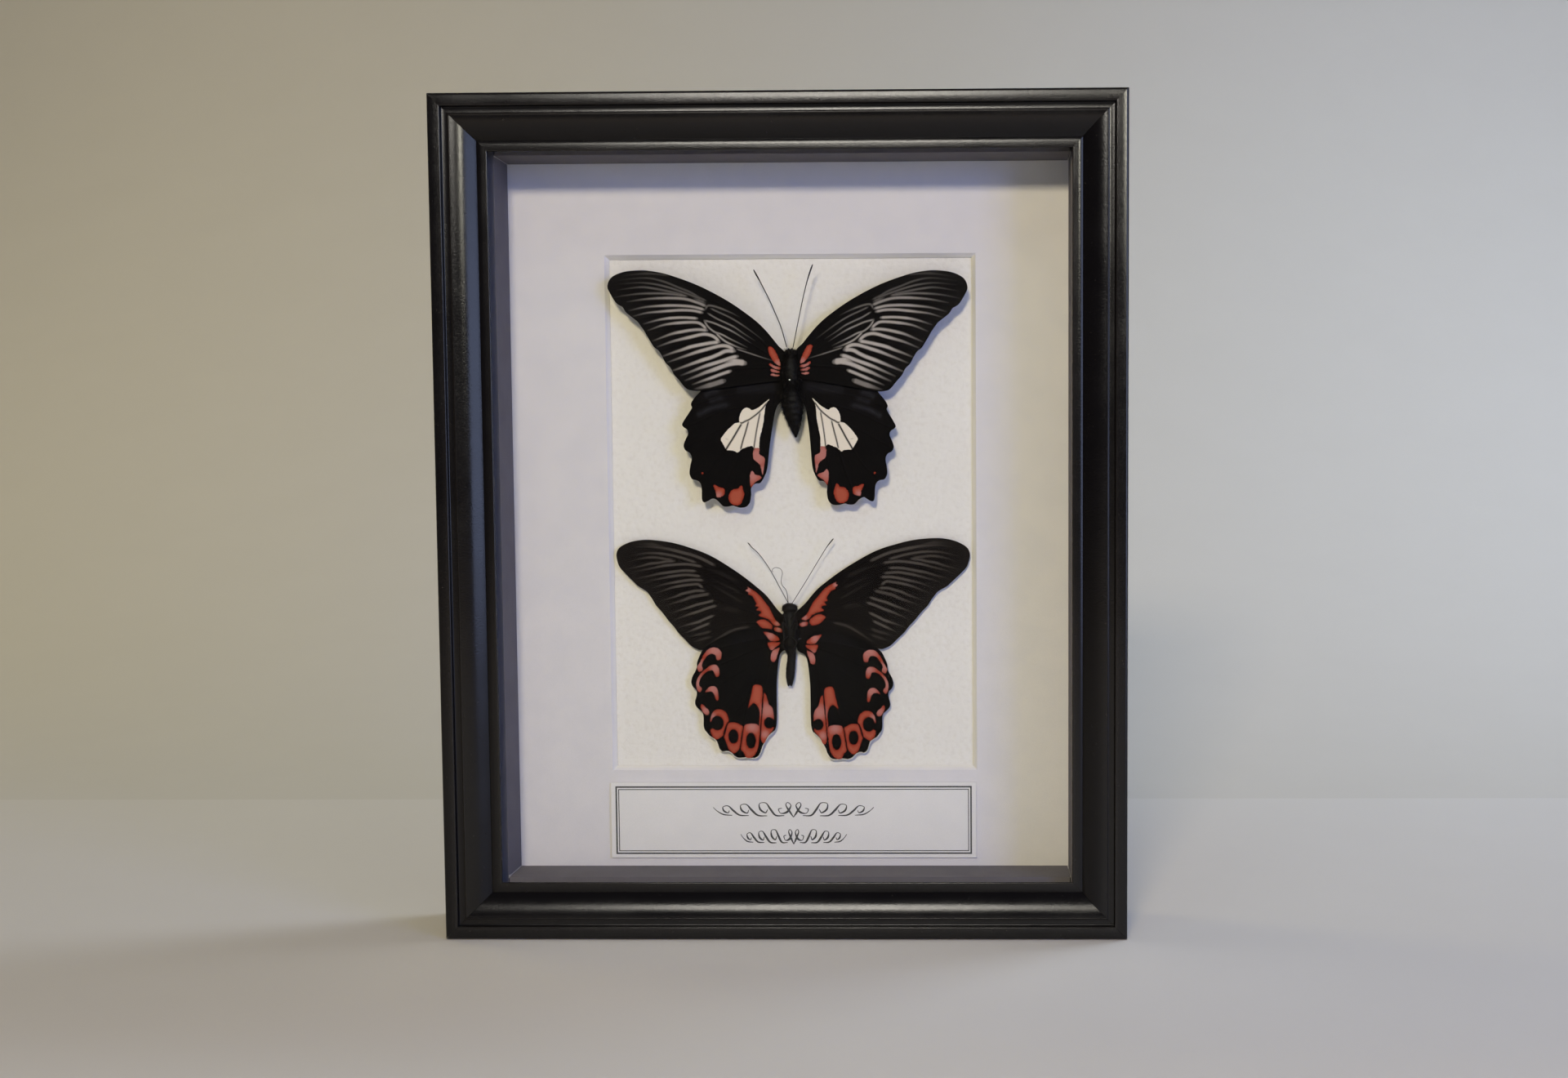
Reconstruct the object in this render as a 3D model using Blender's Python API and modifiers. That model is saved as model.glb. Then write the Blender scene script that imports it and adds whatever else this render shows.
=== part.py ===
"""Framed butterfly specimen: two swallowtails in a deep mitred wooden box frame.

The frame stands on its bottom edge. X runs to the right, Z up, and the glass faces -Y.
The origin is the middle of the bottom edge. Units are metres.
Points of outlines are written in millimetres, measured from the middle of the frame's front,
and pass through MM on their way into a mesh.
"""

import math

import bmesh
import bpy
from mathutils import Vector

MM = 0.001
GAP = 0.3 * MM                    # clearance between neighbouring pieces

# Frame, as seen from the front
FRAME_WIDTH = 227.5 * MM
FRAME_HEIGHT = 278.5 * MM
FRAME_DEPTH = 39.0 * MM

# Cross-section of a rail: insets run from the outer edge to the middle, depths from the front
EDGE_ROUND = 0.9 * MM
OUTER_FLAT = 4.2 * MM
STEP_WIDTH = 1.3 * MM
STEP_DROP = 1.5 * MM
LIP_START = 14.6 * MM
LIP_DEPTH = 5.2 * MM
LIP_INSET = 18.05 * MM
LIP_THICKNESS = 5.0 * MM
RABBET_INSET = 11.65 * MM
ROUND_START_SLOPE = math.radians(3)
ROUND_END_SLOPE = math.radians(44)

# What lies in the rabbet, front to back: depth of the front face and thickness
SHEET_WIDTH = 203.4 * MM
SHEET_HEIGHT = 254.4 * MM
GLASS_DEPTH, GLASS_THICKNESS = 10.5 * MM, 2.0 * MM
SPACER_DEPTH, SPACER_THICKNESS = 12.8 * MM, 17.1 * MM
MAT_DEPTH, MAT_THICKNESS = 30.2 * MM, 1.4 * MM
CARD_DEPTH, CARD_THICKNESS = 31.9 * MM, 1.7 * MM
PANEL_DEPTH, PANEL_THICKNESS = 33.9 * MM, 2.6 * MM

SPACER_WIDTH = 6.1 * MM
WINDOW_WIDTH = 127.0 * MM
WINDOW_HEIGHT = 177.8 * MM
WINDOW_RIGHT_SHIFT = 0.5 * MM
WINDOW_UP_SHIFT = 1.4 * MM

LABEL_WIDTH = 127.3 * MM
LABEL_HEIGHT = 26.5 * MM
LABEL_THICKNESS = 0.4 * MM
LABEL_BELOW_WINDOW = 4.2 * MM

# Back fittings
TAB_WIDTH, TAB_LENGTH, TAB_THICKNESS = 9.0 * MM, 14.0 * MM, 0.5 * MM
TAB_IN_RAIL = 4.0 * MM
TAB_DEPTH = PANEL_DEPTH + PANEL_THICKNESS + GAP
TAB_FROM_MIDDLE_LONG = 75.0 * MM
TAB_FROM_MIDDLE_SHORT = 55.0 * MM
HANGER_WIDTH, HANGER_HEIGHT, HANGER_THICKNESS = 46.0 * MM, 9.0 * MM, 0.6 * MM
HANGER_TEETH = 12
HANGER_TOOTH_HEIGHT = 1.6 * MM
HANGER_DROP = 30.0 * MM           # middle of the hanger below the top of the panel
NAIL_FROM_MIDDLE = 19.5 * MM
NAIL_HEAD_RADIUS, NAIL_HEAD_THICKNESS = 1.5 * MM, 0.4 * MM
NAIL_SHANK_RADIUS, NAIL_SHANK_LENGTH = 0.5 * MM, 3.0 * MM

# Specimens
WING_THICKNESS = 0.4 * MM
UPPER_FOREWING_DEPTH = 25.6 * MM
UPPER_HINDWING_DEPTH = 26.4 * MM
LOWER_HINDWING_DEPTH = 29.4 * MM
LOWER_FOREWING_DEPTH = 30.2 * MM
PIN_RADIUS = 0.25 * MM
PIN_AT = (1.0, 47.2)              # millimetres, from the middle of the frame
PIN_HEAD_DEPTH = 21.9 * MM

# Wing outlines: (outwards, upwards) from the wing's root, in millimetres, root first,
# then along the leading edge, the outer edge and the inner edge
UPPER_FOREWING = [
    (0.9, -2.6), (0.8, 3.8), (-0.1, 7.0), (1.0, 8.8), (3.0, 11.3), (6.0, 14.8), (10.0, 18.4),
    (18.0, 24.0), (28.0, 29.3), (38.0, 33.0), (48.0, 34.6), (53.0, 34.2), (56.5, 33.0),
    (58.5, 31.3), (59.1, 29.2), (58.4, 27.2), (55.0, 22.8), (50.0, 18.0), (47.9, 15.8),
    (46.0, 12.5), (42.0, 7.5), (39.3, 2.8), (35.0, -2.7), (33.0, -5.1), (31.2, -6.0),
    (27.0, -6.2), (18.0, -5.0), (10.0, -4.0), (3.0, -3.2),
]
UPPER_HINDWING = [
    (0.7, -2.5), (0.7, 1.8), (8.0, 3.0), (18.0, 2.5), (26.0, 0.5), (29.3, -2.0), (31.2, -4.7),
    (31.2, -6.1), (32.0, -8.5), (34.2, -12.2), (33.9, -13.5), (32.4, -14.6), (32.4, -16.0),
    (33.8, -19.0), (33.3, -21.5), (31.4, -23.4), (31.4, -24.6), (32.0, -29.0), (31.5, -31.1),
    (28.7, -32.5), (28.0, -34.0), (27.9, -38.0), (27.5, -39.2), (25.8, -38.6), (24.0, -38.0),
    (20.5, -40.7), (18.5, -40.9), (17.5, -40.4), (15.0, -41.0), (12.6, -40.8), (11.2, -39.0),
    (10.8, -35.5), (9.5, -33.0), (7.2, -32.2), (5.9, -30.0), (5.3, -27.0), (4.5, -20.0),
    (3.3, -12.5), (1.8, -6.5),
]
LOWER_FOREWING = [
    (1.5, -2.0), (1.5, 3.7), (3.0, 6.5), (5.5, 10.0), (8.0, 12.7), (15.0, 18.4), (23.0, 23.7),
    (28.0, 26.3), (33.0, 28.1), (38.0, 29.6), (43.0, 30.5), (48.0, 30.9), (52.0, 30.4),
    (55.0, 29.6), (57.5, 28.1), (58.5, 26.0), (58.2, 23.5), (57.0, 21.0), (52.0, 15.7),
    (48.0, 12.7), (46.5, 11.0), (45.0, 8.3), (41.0, 3.2), (37.0, -2.2), (33.0, -6.3),
    (31.0, -7.2), (29.0, -7.3), (23.0, -6.5), (13.0, -4.5), (4.0, -2.8),
]
LOWER_HINDWING = [
    (1.5, -1.0), (1.5, 3.2), (2.8, 4.6), (6.0, 6.0), (12.0, 6.0), (18.0, 4.6), (23.0, 2.4),
    (28.8, -1.0), (30.8, -5.0), (31.2, -7.8), (32.3, -10.0), (32.9, -12.8), (31.3, -15.3),
    (31.2, -17.0), (31.8, -20.0), (31.0, -21.5), (29.7, -22.7), (29.0, -24.0), (28.8, -28.0),
    (27.5, -31.0), (24.8, -32.8), (24.0, -34.5), (23.4, -36.2), (22.4, -37.0), (21.2, -36.9),
    (18.8, -38.0), (16.0, -39.4), (13.0, -39.5), (10.0, -38.5), (8.3, -35.0), (6.5, -32.0),
    (4.0, -29.2), (3.5, -25.0), (3.4, -18.0), (3.3, -12.0), (2.6, -5.0), (1.9, -3.0),
]

# Each wing: outline, side (-1 left, 1 right), root (x, z) in millimetres from the frame's
# middle, turn in degrees, stretch along and across, and the depth of its middle plane
WINGS = {
    "upper_forewing_left": (UPPER_FOREWING, -1, (-2.0, 50.0), 0.0, (1.0, 1.0),
                            UPPER_FOREWING_DEPTH),
    "upper_forewing_right": (UPPER_FOREWING, 1, (3.77, 50.72), -2.27, (0.954, 1.015),
                             UPPER_FOREWING_DEPTH),
    "upper_hindwing_left": (UPPER_HINDWING, -1, (-2.0, 45.0), 0.0, (1.0, 1.0),
                            UPPER_HINDWING_DEPTH),
    "upper_hindwing_right": (UPPER_HINDWING, 1, (4.0, 45.38), -2.72, (0.966, 0.976),
                             UPPER_HINDWING_DEPTH),
    "lower_forewing_left": (LOWER_FOREWING, -1, (-2.0, -38.0), 0.0, (1.0, 1.0),
                            LOWER_FOREWING_DEPTH),
    "lower_forewing_right": (LOWER_FOREWING, 1, (1.43, -35.9), -3.26, (1.007, 1.029),
                             LOWER_FOREWING_DEPTH),
    "lower_hindwing_left": (LOWER_HINDWING, -1, (-2.0, -44.0), 0.0, (1.0, 1.0),
                            LOWER_HINDWING_DEPTH),
    "lower_hindwing_right": (LOWER_HINDWING, 1, (2.94, -45.01), 0.26, (0.973, 0.987),
                             LOWER_HINDWING_DEPTH),
}

# Bodies: stations from head to tail, (x, z, depth of the axis, radius) in millimetres
UPPER_BODY = [
    (1.1, 57.7, 25.2, 0.5), (1.1, 57.2, 25.2, 1.3), (1.1, 56.2, 25.2, 1.8),
    (1.1, 55.2, 25.2, 1.6), (1.1, 54.2, 25.1, 2.1), (1.1, 52.0, 25.0, 2.8),
    (1.1, 49.0, 25.0, 3.0), (1.1, 46.0, 25.2, 2.9), (1.1, 43.8, 25.8, 2.4),
    (1.3, 41.0, 26.3, 2.8), (1.4, 38.0, 26.8, 3.1), (1.7, 35.5, 27.0, 3.0),
    (2.0, 33.0, 27.2, 2.4), (2.2, 30.5, 27.4, 1.5), (2.3, 28.7, 27.5, 0.7),
    (2.4, 27.8, 27.6, 0.2),
]
LOWER_BODY = [
    (-0.6, -29.1, 28.4, 1.0), (-0.5, -29.8, 28.4, 2.2), (-0.4, -31.0, 28.4, 2.6),
    (-0.5, -32.2, 28.5, 2.1), (-0.5, -34.0, 28.5, 2.3), (-0.3, -37.0, 28.5, 2.7),
    (-0.2, -40.5, 28.6, 2.7), (-0.2, -43.5, 28.9, 2.3), (-0.2, -45.0, 29.3, 1.7),
    (-0.1, -48.0, 29.6, 1.45), (-0.5, -52.0, 29.7, 1.6), (-0.7, -55.5, 29.7, 1.4),
    (-0.8, -57.3, 29.7, 0.9),
]

# Feelers and tongue: (x, z, depth, radius) in millimetres, from the head outwards
UPPER_ANTENNA_LEFT = [
    (-0.2, 58.4, 24.9, 0.16), (-2.0, 65.0, 24.7, 0.16), (-4.0, 70.0, 24.5, 0.17),
    (-6.2, 75.0, 24.4, 0.18), (-8.7, 80.0, 24.3, 0.20), (-9.6, 81.7, 24.3, 0.27),
    (-10.6, 83.5, 24.3, 0.28), (-11.1, 84.5, 24.3, 0.14),
]
UPPER_ANTENNA_RIGHT = [
    (2.0, 58.4, 24.9, 0.16), (3.4, 65.0, 24.7, 0.16), (4.5, 70.0, 24.5, 0.17),
    (5.6, 75.0, 24.4, 0.18), (6.9, 80.0, 24.3, 0.20), (7.6, 82.3, 24.3, 0.27),
    (8.5, 84.9, 24.3, 0.28), (9.0, 86.2, 24.3, 0.14),
]
LOWER_ANTENNA_LEFT = [
    (-1.5, -27.7, 28.2, 0.15), (-4.0, -23.2, 28.1, 0.15), (-7.3, -17.1, 28.0, 0.16),
    (-10.7, -12.2, 27.9, 0.18), (-13.2, -9.8, 27.9, 0.20), (-14.2, -8.6, 27.9, 0.27),
    (-14.7, -8.1, 27.9, 0.14),
]
LOWER_ANTENNA_RIGHT = [
    (0.8, -28.3, 28.2, 0.15), (5.2, -21.6, 28.1, 0.15), (9.3, -14.9, 28.0, 0.16),
    (12.2, -10.3, 27.9, 0.18), (13.6, -8.4, 27.9, 0.27), (14.6, -7.2, 27.9, 0.27),
    (14.9, -6.8, 27.9, 0.14),
]
LOWER_PROBOSCIS = [
    (-1.0, -28.0, 27.3, 0.14), (-1.2, -25.6, 27.3, 0.13), (-1.8, -24.1, 27.4, 0.13),
    (-2.9, -22.8, 27.4, 0.12), (-3.2, -21.5, 27.3, 0.12), (-3.0, -20.0, 27.1, 0.12),
    (-2.7, -18.7, 27.0, 0.12), (-3.0, -17.6, 26.9, 0.11), (-3.8, -16.9, 26.9, 0.11),
    (-5.2, -16.7, 26.9, 0.11), (-6.1, -17.3, 26.9, 0.11), (-6.2, -18.0, 26.9, 0.10),
    (-5.7, -18.1, 26.9, 0.09),
]

# Legs folded on the lower specimen's breast, for the left side, as for the feelers
LEGS = [
    [(-0.9, -34.6, 26.4, 0.35), (-2.3, -32.7, 25.9, 0.36), (-1.3, -36.2, 25.4, 0.26)],
    [(-1.0, -37.6, 26.2, 0.38), (-2.7, -35.8, 25.8, 0.36), (-2.0, -40.6, 25.5, 0.26)],
    [(-0.9, -40.2, 26.3, 0.38), (-2.6, -42.6, 26.0, 0.34), (-1.2, -46.6, 26.9, 0.22)],
]
LEG_AXIS_X = -0.35                # the legs' mirror line, millimetres from the frame's middle

# Colour, roughness and metallic value of each material
FINISHES = {
    "black_wood": ((0.012, 0.011, 0.011), 0.32, 0.0),
    "glass": ((0.9, 0.95, 0.93), 0.02, 0.0),
    "grey_board": ((0.10, 0.10, 0.115), 0.7, 0.0),
    "mat_board": ((0.78, 0.76, 0.77), 0.85, 0.0),
    "mount_card": ((0.76, 0.74, 0.69), 0.9, 0.0),
    "label_paper": ((0.80, 0.79, 0.77), 0.8, 0.0),
    "back_panel": ((0.16, 0.09, 0.045), 0.75, 0.0),
    "steel": ((0.55, 0.55, 0.53), 0.35, 1.0),
    "wing": ((0.012, 0.009, 0.009), 0.75, 0.0),
    "body": ((0.010, 0.008, 0.008), 0.85, 0.0),
    "feeler": ((0.03, 0.024, 0.018), 0.5, 0.0),
}


def clear_scene():
    for thing in list(bpy.data.objects):
        bpy.data.objects.remove(thing, do_unlink=True)


def new_collection(name):
    collection = bpy.data.collections.new(name)
    bpy.context.scene.collection.children.link(collection)
    return collection


def make_material(name):
    colour, roughness, metallic = FINISHES[name]
    material = bpy.data.materials.new(name)
    material.use_nodes = True
    shader = material.node_tree.nodes["Principled BSDF"]
    shader.inputs["Base Color"].default_value = (*colour, 1.0)
    shader.inputs["Roughness"].default_value = roughness
    shader.inputs["Metallic"].default_value = metallic
    if name == "glass":
        shader.inputs["Transmission Weight"].default_value = 1.0
    return material


def front_point(x, z, depth):
    """World place of a point given from the middle of the frame's front, in metres."""
    return Vector((x, depth - FRAME_DEPTH / 2, z + FRAME_HEIGHT / 2))


def add_object(name, data, material, collection):
    thing = bpy.data.objects.new(name, data)
    data.materials.append(material)
    collection.objects.link(thing)
    return thing


def box(name, size, centre, material, collection):
    """A box with its size in its mesh and its place in its location."""
    mesh = bpy.data.meshes.new(name)
    shape = bmesh.new()
    bmesh.ops.create_cube(shape, size=1.0)
    bmesh.ops.scale(shape, vec=size, verts=shape.verts)
    shape.to_mesh(mesh)
    shape.free()
    thing = add_object(name, mesh, material, collection)
    thing.location = centre
    return thing


def sheet(name, width, height, depth, thickness, material, collection):
    """A sheet centred in the frame, its front face at the given depth."""
    centre = front_point(0.0, 0.0, depth + thickness / 2)
    return box(name, (width, thickness, height), centre, material, collection)


def outline_curve(name, loops, half_thickness, smooth=False):
    """A filled flat outline in the curve's own XY plane, from one or more closed loops."""
    curve = bpy.data.curves.new(name, "CURVE")
    curve.dimensions = "2D"
    curve.fill_mode = "BOTH"
    curve.extrude = half_thickness
    curve.resolution_u = 2
    for loop in loops:
        if smooth:
            spline = curve.splines.new("BEZIER")
            spline.bezier_points.add(len(loop) - 1)
            for point, (x, y) in zip(spline.bezier_points, loop):
                point.co = (x, y, 0.0)
                point.handle_left_type = "AUTO"
                point.handle_right_type = "AUTO"
        else:
            spline = curve.splines.new("POLY")
            spline.points.add(len(loop) - 1)
            for point, (x, y) in zip(spline.points, loop):
                point.co = (x, y, 0.0, 1.0)
        spline.use_cyclic_u = True
    return curve


def tube_curve(name, stations, sides):
    """A round tube through stations of (place, radius), closed at both ends."""
    curve = bpy.data.curves.new(name, "CURVE")
    curve.dimensions = "3D"
    curve.bevel_depth = 1.0
    curve.bevel_resolution = sides // 2 - 2
    curve.use_fill_caps = True
    spline = curve.splines.new("POLY")
    spline.points.add(len(stations) - 1)
    for point, (place, radius) in zip(spline.points, stations):
        point.co = (*place, 1.0)
        point.radius = radius
    return curve


def mesh_from_curve(curve, material, collection):
    """The curve as a welded mesh object of the same name; the curve is removed."""
    name = curve.name
    helper = bpy.data.objects.new(name + "_curve", curve)
    collection.objects.link(helper)
    graph = bpy.context.evaluated_depsgraph_get()
    mesh = bpy.data.meshes.new_from_object(helper.evaluated_get(graph))
    shape = bmesh.new()
    shape.from_mesh(mesh)
    bmesh.ops.remove_doubles(shape, verts=shape.verts, dist=0.00001)
    bmesh.ops.recalc_face_normals(shape, faces=shape.faces)
    shape.to_mesh(mesh)
    shape.free()
    mesh.name = name
    bpy.data.objects.remove(helper, do_unlink=True)
    bpy.data.curves.remove(curve)
    return add_object(name, mesh, material, collection)


def combine(target, other, operation, cutters):
    """Join another object to the target, or cut it away, with a Boolean modifier."""
    for collection in list(other.users_collection):
        collection.objects.unlink(other)
    cutters.objects.link(other)
    other.hide_render = True
    other.display_type = "WIRE"
    modifier = target.modifiers.new(other.name, "BOOLEAN")
    modifier.operation = operation
    modifier.object = other
    modifier.solver = "EXACT"


def arc(centre, radius, start, end, steps):
    """Points along an arc, angles in radians, measured from the first axis to the second."""
    angles = [start + (end - start) * step / steps for step in range(steps + 1)]
    return [(centre[0] + radius * math.cos(angle), centre[1] + radius * math.sin(angle))
            for angle in angles]


def rail_profile():
    """The rail's cross-section as (inset, depth) points, from the outer front edge inwards."""
    quarter = math.pi / 2
    edge = arc((EDGE_ROUND, EDGE_ROUND), EDGE_ROUND, 2 * quarter, 3 * quarter, 3)
    flat_end = arc((OUTER_FLAT - EDGE_ROUND / 2, EDGE_ROUND / 2), EDGE_ROUND / 2,
                   -quarter, 0.0, 2)
    step_foot = (OUTER_FLAT + STEP_WIDTH, STEP_DROP)
    span = LIP_START - step_foot[0]
    radius = span / (math.sin(ROUND_END_SLOPE) - math.sin(ROUND_START_SLOPE))
    centre = (step_foot[0] - radius * math.sin(ROUND_START_SLOPE),
              step_foot[1] + radius * math.cos(ROUND_START_SLOPE))
    swell = arc(centre, radius, ROUND_START_SLOPE - quarter, ROUND_END_SLOPE - quarter, 7)
    lip_edge = arc((LIP_INSET - EDGE_ROUND / 2, LIP_DEPTH + EDGE_ROUND / 2), EDGE_ROUND / 2,
                   -quarter, 0.0, 3)
    lip_back = LIP_DEPTH + LIP_THICKNESS
    return (edge + flat_end + swell + [(LIP_START + GAP, LIP_DEPTH)] + lip_edge
            + [(LIP_INSET, lip_back), (RABBET_INSET, lip_back),
               (RABBET_INSET, FRAME_DEPTH), (0.0, FRAME_DEPTH)])


def frame_rail(name, length, middle, turn, material, collection):
    """One mitred rail: the profile drawn out along its length, its ends slid to 45 degrees."""
    rail = mesh_from_curve(outline_curve(name, [rail_profile()], length / 2),
                           material, collection)
    mitre_gap = GAP / 2 * math.sqrt(2)
    for vertex in rail.data.vertices:
        inset, depth, along = vertex.co
        reach = length / 2 - inset - mitre_gap
        vertex.co = (-math.copysign(reach, along), depth, inset)
    rail.location = middle
    rail.rotation_euler = (0.0, turn, 0.0)
    return rail


def build_rails(material, collection):
    half_width = FRAME_WIDTH / 2
    half_height = FRAME_HEIGHT / 2
    places = {
        "frame_rail_bottom": (FRAME_WIDTH, (0.0, -half_height), 0.0),
        "frame_rail_top": (FRAME_WIDTH, (0.0, half_height), math.pi),
        "frame_rail_left": (FRAME_HEIGHT, (-half_width, 0.0), math.pi / 2),
        "frame_rail_right": (FRAME_HEIGHT, (half_width, 0.0), -math.pi / 2),
    }
    return {name: frame_rail(name, length, front_point(x, z, 0.0), turn, material, collection)
            for name, (length, (x, z), turn) in places.items()}


def build_spacers(material, collection):
    across = SHEET_WIDTH - 2 * (SPACER_WIDTH + GAP)
    side_x = (SHEET_WIDTH - SPACER_WIDTH) / 2
    end_z = (SHEET_HEIGHT - SPACER_WIDTH) / 2
    depth = SPACER_DEPTH + SPACER_THICKNESS / 2
    for name, x in (("spacer_left", -side_x), ("spacer_right", side_x)):
        box(name, (SPACER_WIDTH, SPACER_THICKNESS, SHEET_HEIGHT), front_point(x, 0.0, depth),
            material, collection)
    for name, z in (("spacer_bottom", -end_z), ("spacer_top", end_z)):
        box(name, (across, SPACER_THICKNESS, SPACER_WIDTH), front_point(0.0, z, depth),
            material, collection)


def rectangle(width, height, x=0.0, y=0.0):
    """Corners of a rectangle round a middle point."""
    return [(x + side_x * width / 2, y + side_y * height / 2)
            for side_x, side_y in ((-1, -1), (1, -1), (1, 1), (-1, 1))]


def build_mat(material, collection):
    """The mat: a sheet with a window, its four edges bevelled at 45 degrees to the front."""
    window = rectangle(WINDOW_WIDTH, WINDOW_HEIGHT, WINDOW_RIGHT_SHIFT, WINDOW_UP_SHIFT)
    curve = outline_curve("mat_board", [rectangle(SHEET_WIDTH, SHEET_HEIGHT), window],
                          MAT_THICKNESS / 2)
    mat = mesh_from_curve(curve, material, collection)
    for vertex in mat.data.vertices:
        across = vertex.co.x - WINDOW_RIGHT_SHIFT
        up = vertex.co.y - WINDOW_UP_SHIFT
        on_window = abs(across) < SHEET_WIDTH / 2 - 10 * MM and abs(up) < SHEET_HEIGHT / 2 - 10 * MM
        if on_window and vertex.co.z < 0.0:
            vertex.co.x -= math.copysign(MAT_THICKNESS, across)
            vertex.co.y -= math.copysign(MAT_THICKNESS, up)
    mat.location = front_point(0.0, 0.0, MAT_DEPTH + MAT_THICKNESS / 2)
    mat.rotation_euler = (math.pi / 2, 0.0, 0.0)
    return mat


def build_label(material, collection):
    """The label card, lying on the mat just below its window."""
    window_foot = WINDOW_UP_SHIFT - WINDOW_HEIGHT / 2
    middle_z = window_foot - LABEL_BELOW_WINDOW - LABEL_HEIGHT / 2
    depth = MAT_DEPTH - GAP - LABEL_THICKNESS / 2
    return box("label_card", (LABEL_WIDTH, LABEL_THICKNESS, LABEL_HEIGHT),
               front_point(0.0, middle_z, depth), material, collection)


def build_tabs(rails, material, collection, cutters):
    """Flat steel points driven into the rabbet wall, which hold the back panel."""
    side_x = FRAME_WIDTH / 2 - RABBET_INSET
    end_z = FRAME_HEIGHT / 2 - RABBET_INSET
    reach = TAB_LENGTH / 2 - TAB_IN_RAIL
    depth = TAB_DEPTH + TAB_THICKNESS / 2
    places = {}
    for side, rail in ((-1, "left"), (1, "right")):
        for up, row in ((-1, "lower"), (1, "upper")):
            places[f"tab_{rail}_{row}"] = (rail, side * (side_x - reach),
                                           up * TAB_FROM_MIDDLE_LONG, False)
    for up, rail in ((-1, "bottom"), (1, "top")):
        for side, row in ((-1, "left"), (1, "right")):
            places[f"tab_{rail}_{row}"] = (rail, side * TAB_FROM_MIDDLE_SHORT,
                                           up * (end_z - reach), True)
    for name, (rail, x, z, upright) in places.items():
        wide, tall = (TAB_WIDTH, TAB_LENGTH) if upright else (TAB_LENGTH, TAB_WIDTH)
        centre = front_point(x, z, depth)
        box(name, (wide, TAB_THICKNESS, tall), centre, material, collection)
        slot = box(name + "_slot", (wide + 2 * GAP, TAB_THICKNESS + 2 * GAP, tall + 2 * GAP),
                   centre, material, collection)
        combine(rails["frame_rail_" + rail], slot, "DIFFERENCE", cutters)


def hanger_outline():
    """Outline of the sawtooth hanger, its teeth along the lower edge."""
    half_width, half_height = HANGER_WIDTH / 2, HANGER_HEIGHT / 2
    ear = 7.0 * MM
    corner = 1.5 * MM
    row = HANGER_WIDTH - 2 * ear
    pitch = row / HANGER_TEETH
    points = [(half_width, half_height - corner), (half_width - corner, half_height),
              (corner - half_width, half_height), (-half_width, half_height - corner),
              (-half_width, corner - half_height), (corner - half_width, -half_height),
              (ear - half_width, -half_height)]
    for tooth in range(HANGER_TEETH):
        start = ear - half_width + tooth * pitch
        points.append((start + pitch / 2, HANGER_TOOTH_HEIGHT - half_height))
        points.append((start + pitch, -half_height))
    return points + [(half_width - corner, -half_height), (half_width, corner - half_height)]


def nail(name, place, material, collection):
    """A flat-headed nail turned about Y, its head towards the back."""
    mesh = bpy.data.meshes.new(name)
    shape = bmesh.new()
    profile = [(0.0, NAIL_HEAD_THICKNESS), (NAIL_HEAD_RADIUS, NAIL_HEAD_THICKNESS),
               (NAIL_HEAD_RADIUS, 0.0), (NAIL_SHANK_RADIUS, 0.0),
               (NAIL_SHANK_RADIUS, -NAIL_SHANK_LENGTH), (0.0, -NAIL_SHANK_LENGTH)]
    corners = [shape.verts.new((radius, 0.0, height)) for radius, height in profile]
    for first, second in zip(corners, corners[1:]):
        shape.edges.new((first, second))
    shape.to_mesh(mesh)
    shape.free()
    thing = add_object(name, mesh, material, collection)
    turned = thing.modifiers.new("turned", "SCREW")
    turned.steps = 12
    turned.render_steps = 12
    turned.use_merge_vertices = True
    turned.merge_threshold = 0.00001
    thing.location = place
    thing.rotation_euler = (-math.pi / 2, 0.0, 0.0)
    return thing


def build_hanger(panel, material, collection, cutters):
    """The sawtooth hanger and its two nails, on the back panel near its top."""
    height = SHEET_HEIGHT / 2 - HANGER_DROP
    front = PANEL_DEPTH + PANEL_THICKNESS + GAP
    plate = mesh_from_curve(outline_curve("hanger_plate", [hanger_outline()],
                                          HANGER_THICKNESS / 2), material, collection)
    plate.location = front_point(0.0, height, front + HANGER_THICKNESS / 2)
    plate.rotation_euler = (math.pi / 2, 0.0, 0.0)
    for name, side in (("hanger_nail_left", -1), ("hanger_nail_right", 1)):
        seat = front_point(side * NAIL_FROM_MIDDLE, height, front + HANGER_THICKNESS + GAP)
        nail(name, seat, material, collection)
        for target in (panel, plate):
            hole = cylinder(f"{name}_hole_in_{target.name}", NAIL_SHANK_RADIUS + GAP,
                            2 * NAIL_SHANK_LENGTH, seat, material, collection)
            combine(target, hole, "DIFFERENCE", cutters)


def cylinder(name, radius, length, centre, material, collection):
    """A round bar along Y."""
    mesh = bpy.data.meshes.new(name)
    shape = bmesh.new()
    bmesh.ops.create_cone(shape, cap_ends=True, segments=12, radius1=radius, radius2=radius,
                          depth=length)
    shape.to_mesh(mesh)
    shape.free()
    thing = add_object(name, mesh, material, collection)
    thing.location = centre
    thing.rotation_euler = (math.pi / 2, 0.0, 0.0)
    return thing


def build_wing(name, material, collection):
    """A flat wing: its outline is stretched, turned about its root and set on its side."""
    outline, side, root, turn, stretch, depth = WINGS[name]
    cosine, sine = math.cos(math.radians(turn)), math.sin(math.radians(turn))
    points = []
    for outwards, upwards in outline:
        outwards, upwards = outwards * stretch[0], upwards * stretch[1]
        points.append((side * (outwards * cosine - upwards * sine) * MM,
                       (outwards * sine + upwards * cosine) * MM))
    wing = add_object(name, outline_curve(name, [points], WING_THICKNESS / 2, smooth=True),
                      material, collection)
    wing.location = front_point(root[0] * MM, root[1] * MM, depth)
    wing.rotation_euler = (math.pi / 2, 0.0, 0.0)


def round_piece(name, stations, sides, material, collection):
    """A round-sectioned piece along stations given from the frame's middle, in millimetres."""
    placed = [(front_point(x * MM, z * MM, depth * MM), radius * MM)
              for x, z, depth, radius in stations]
    piece = mesh_from_curve(tube_curve(name, placed, sides), material, collection)
    piece.data.shade_smooth()
    return piece


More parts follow.
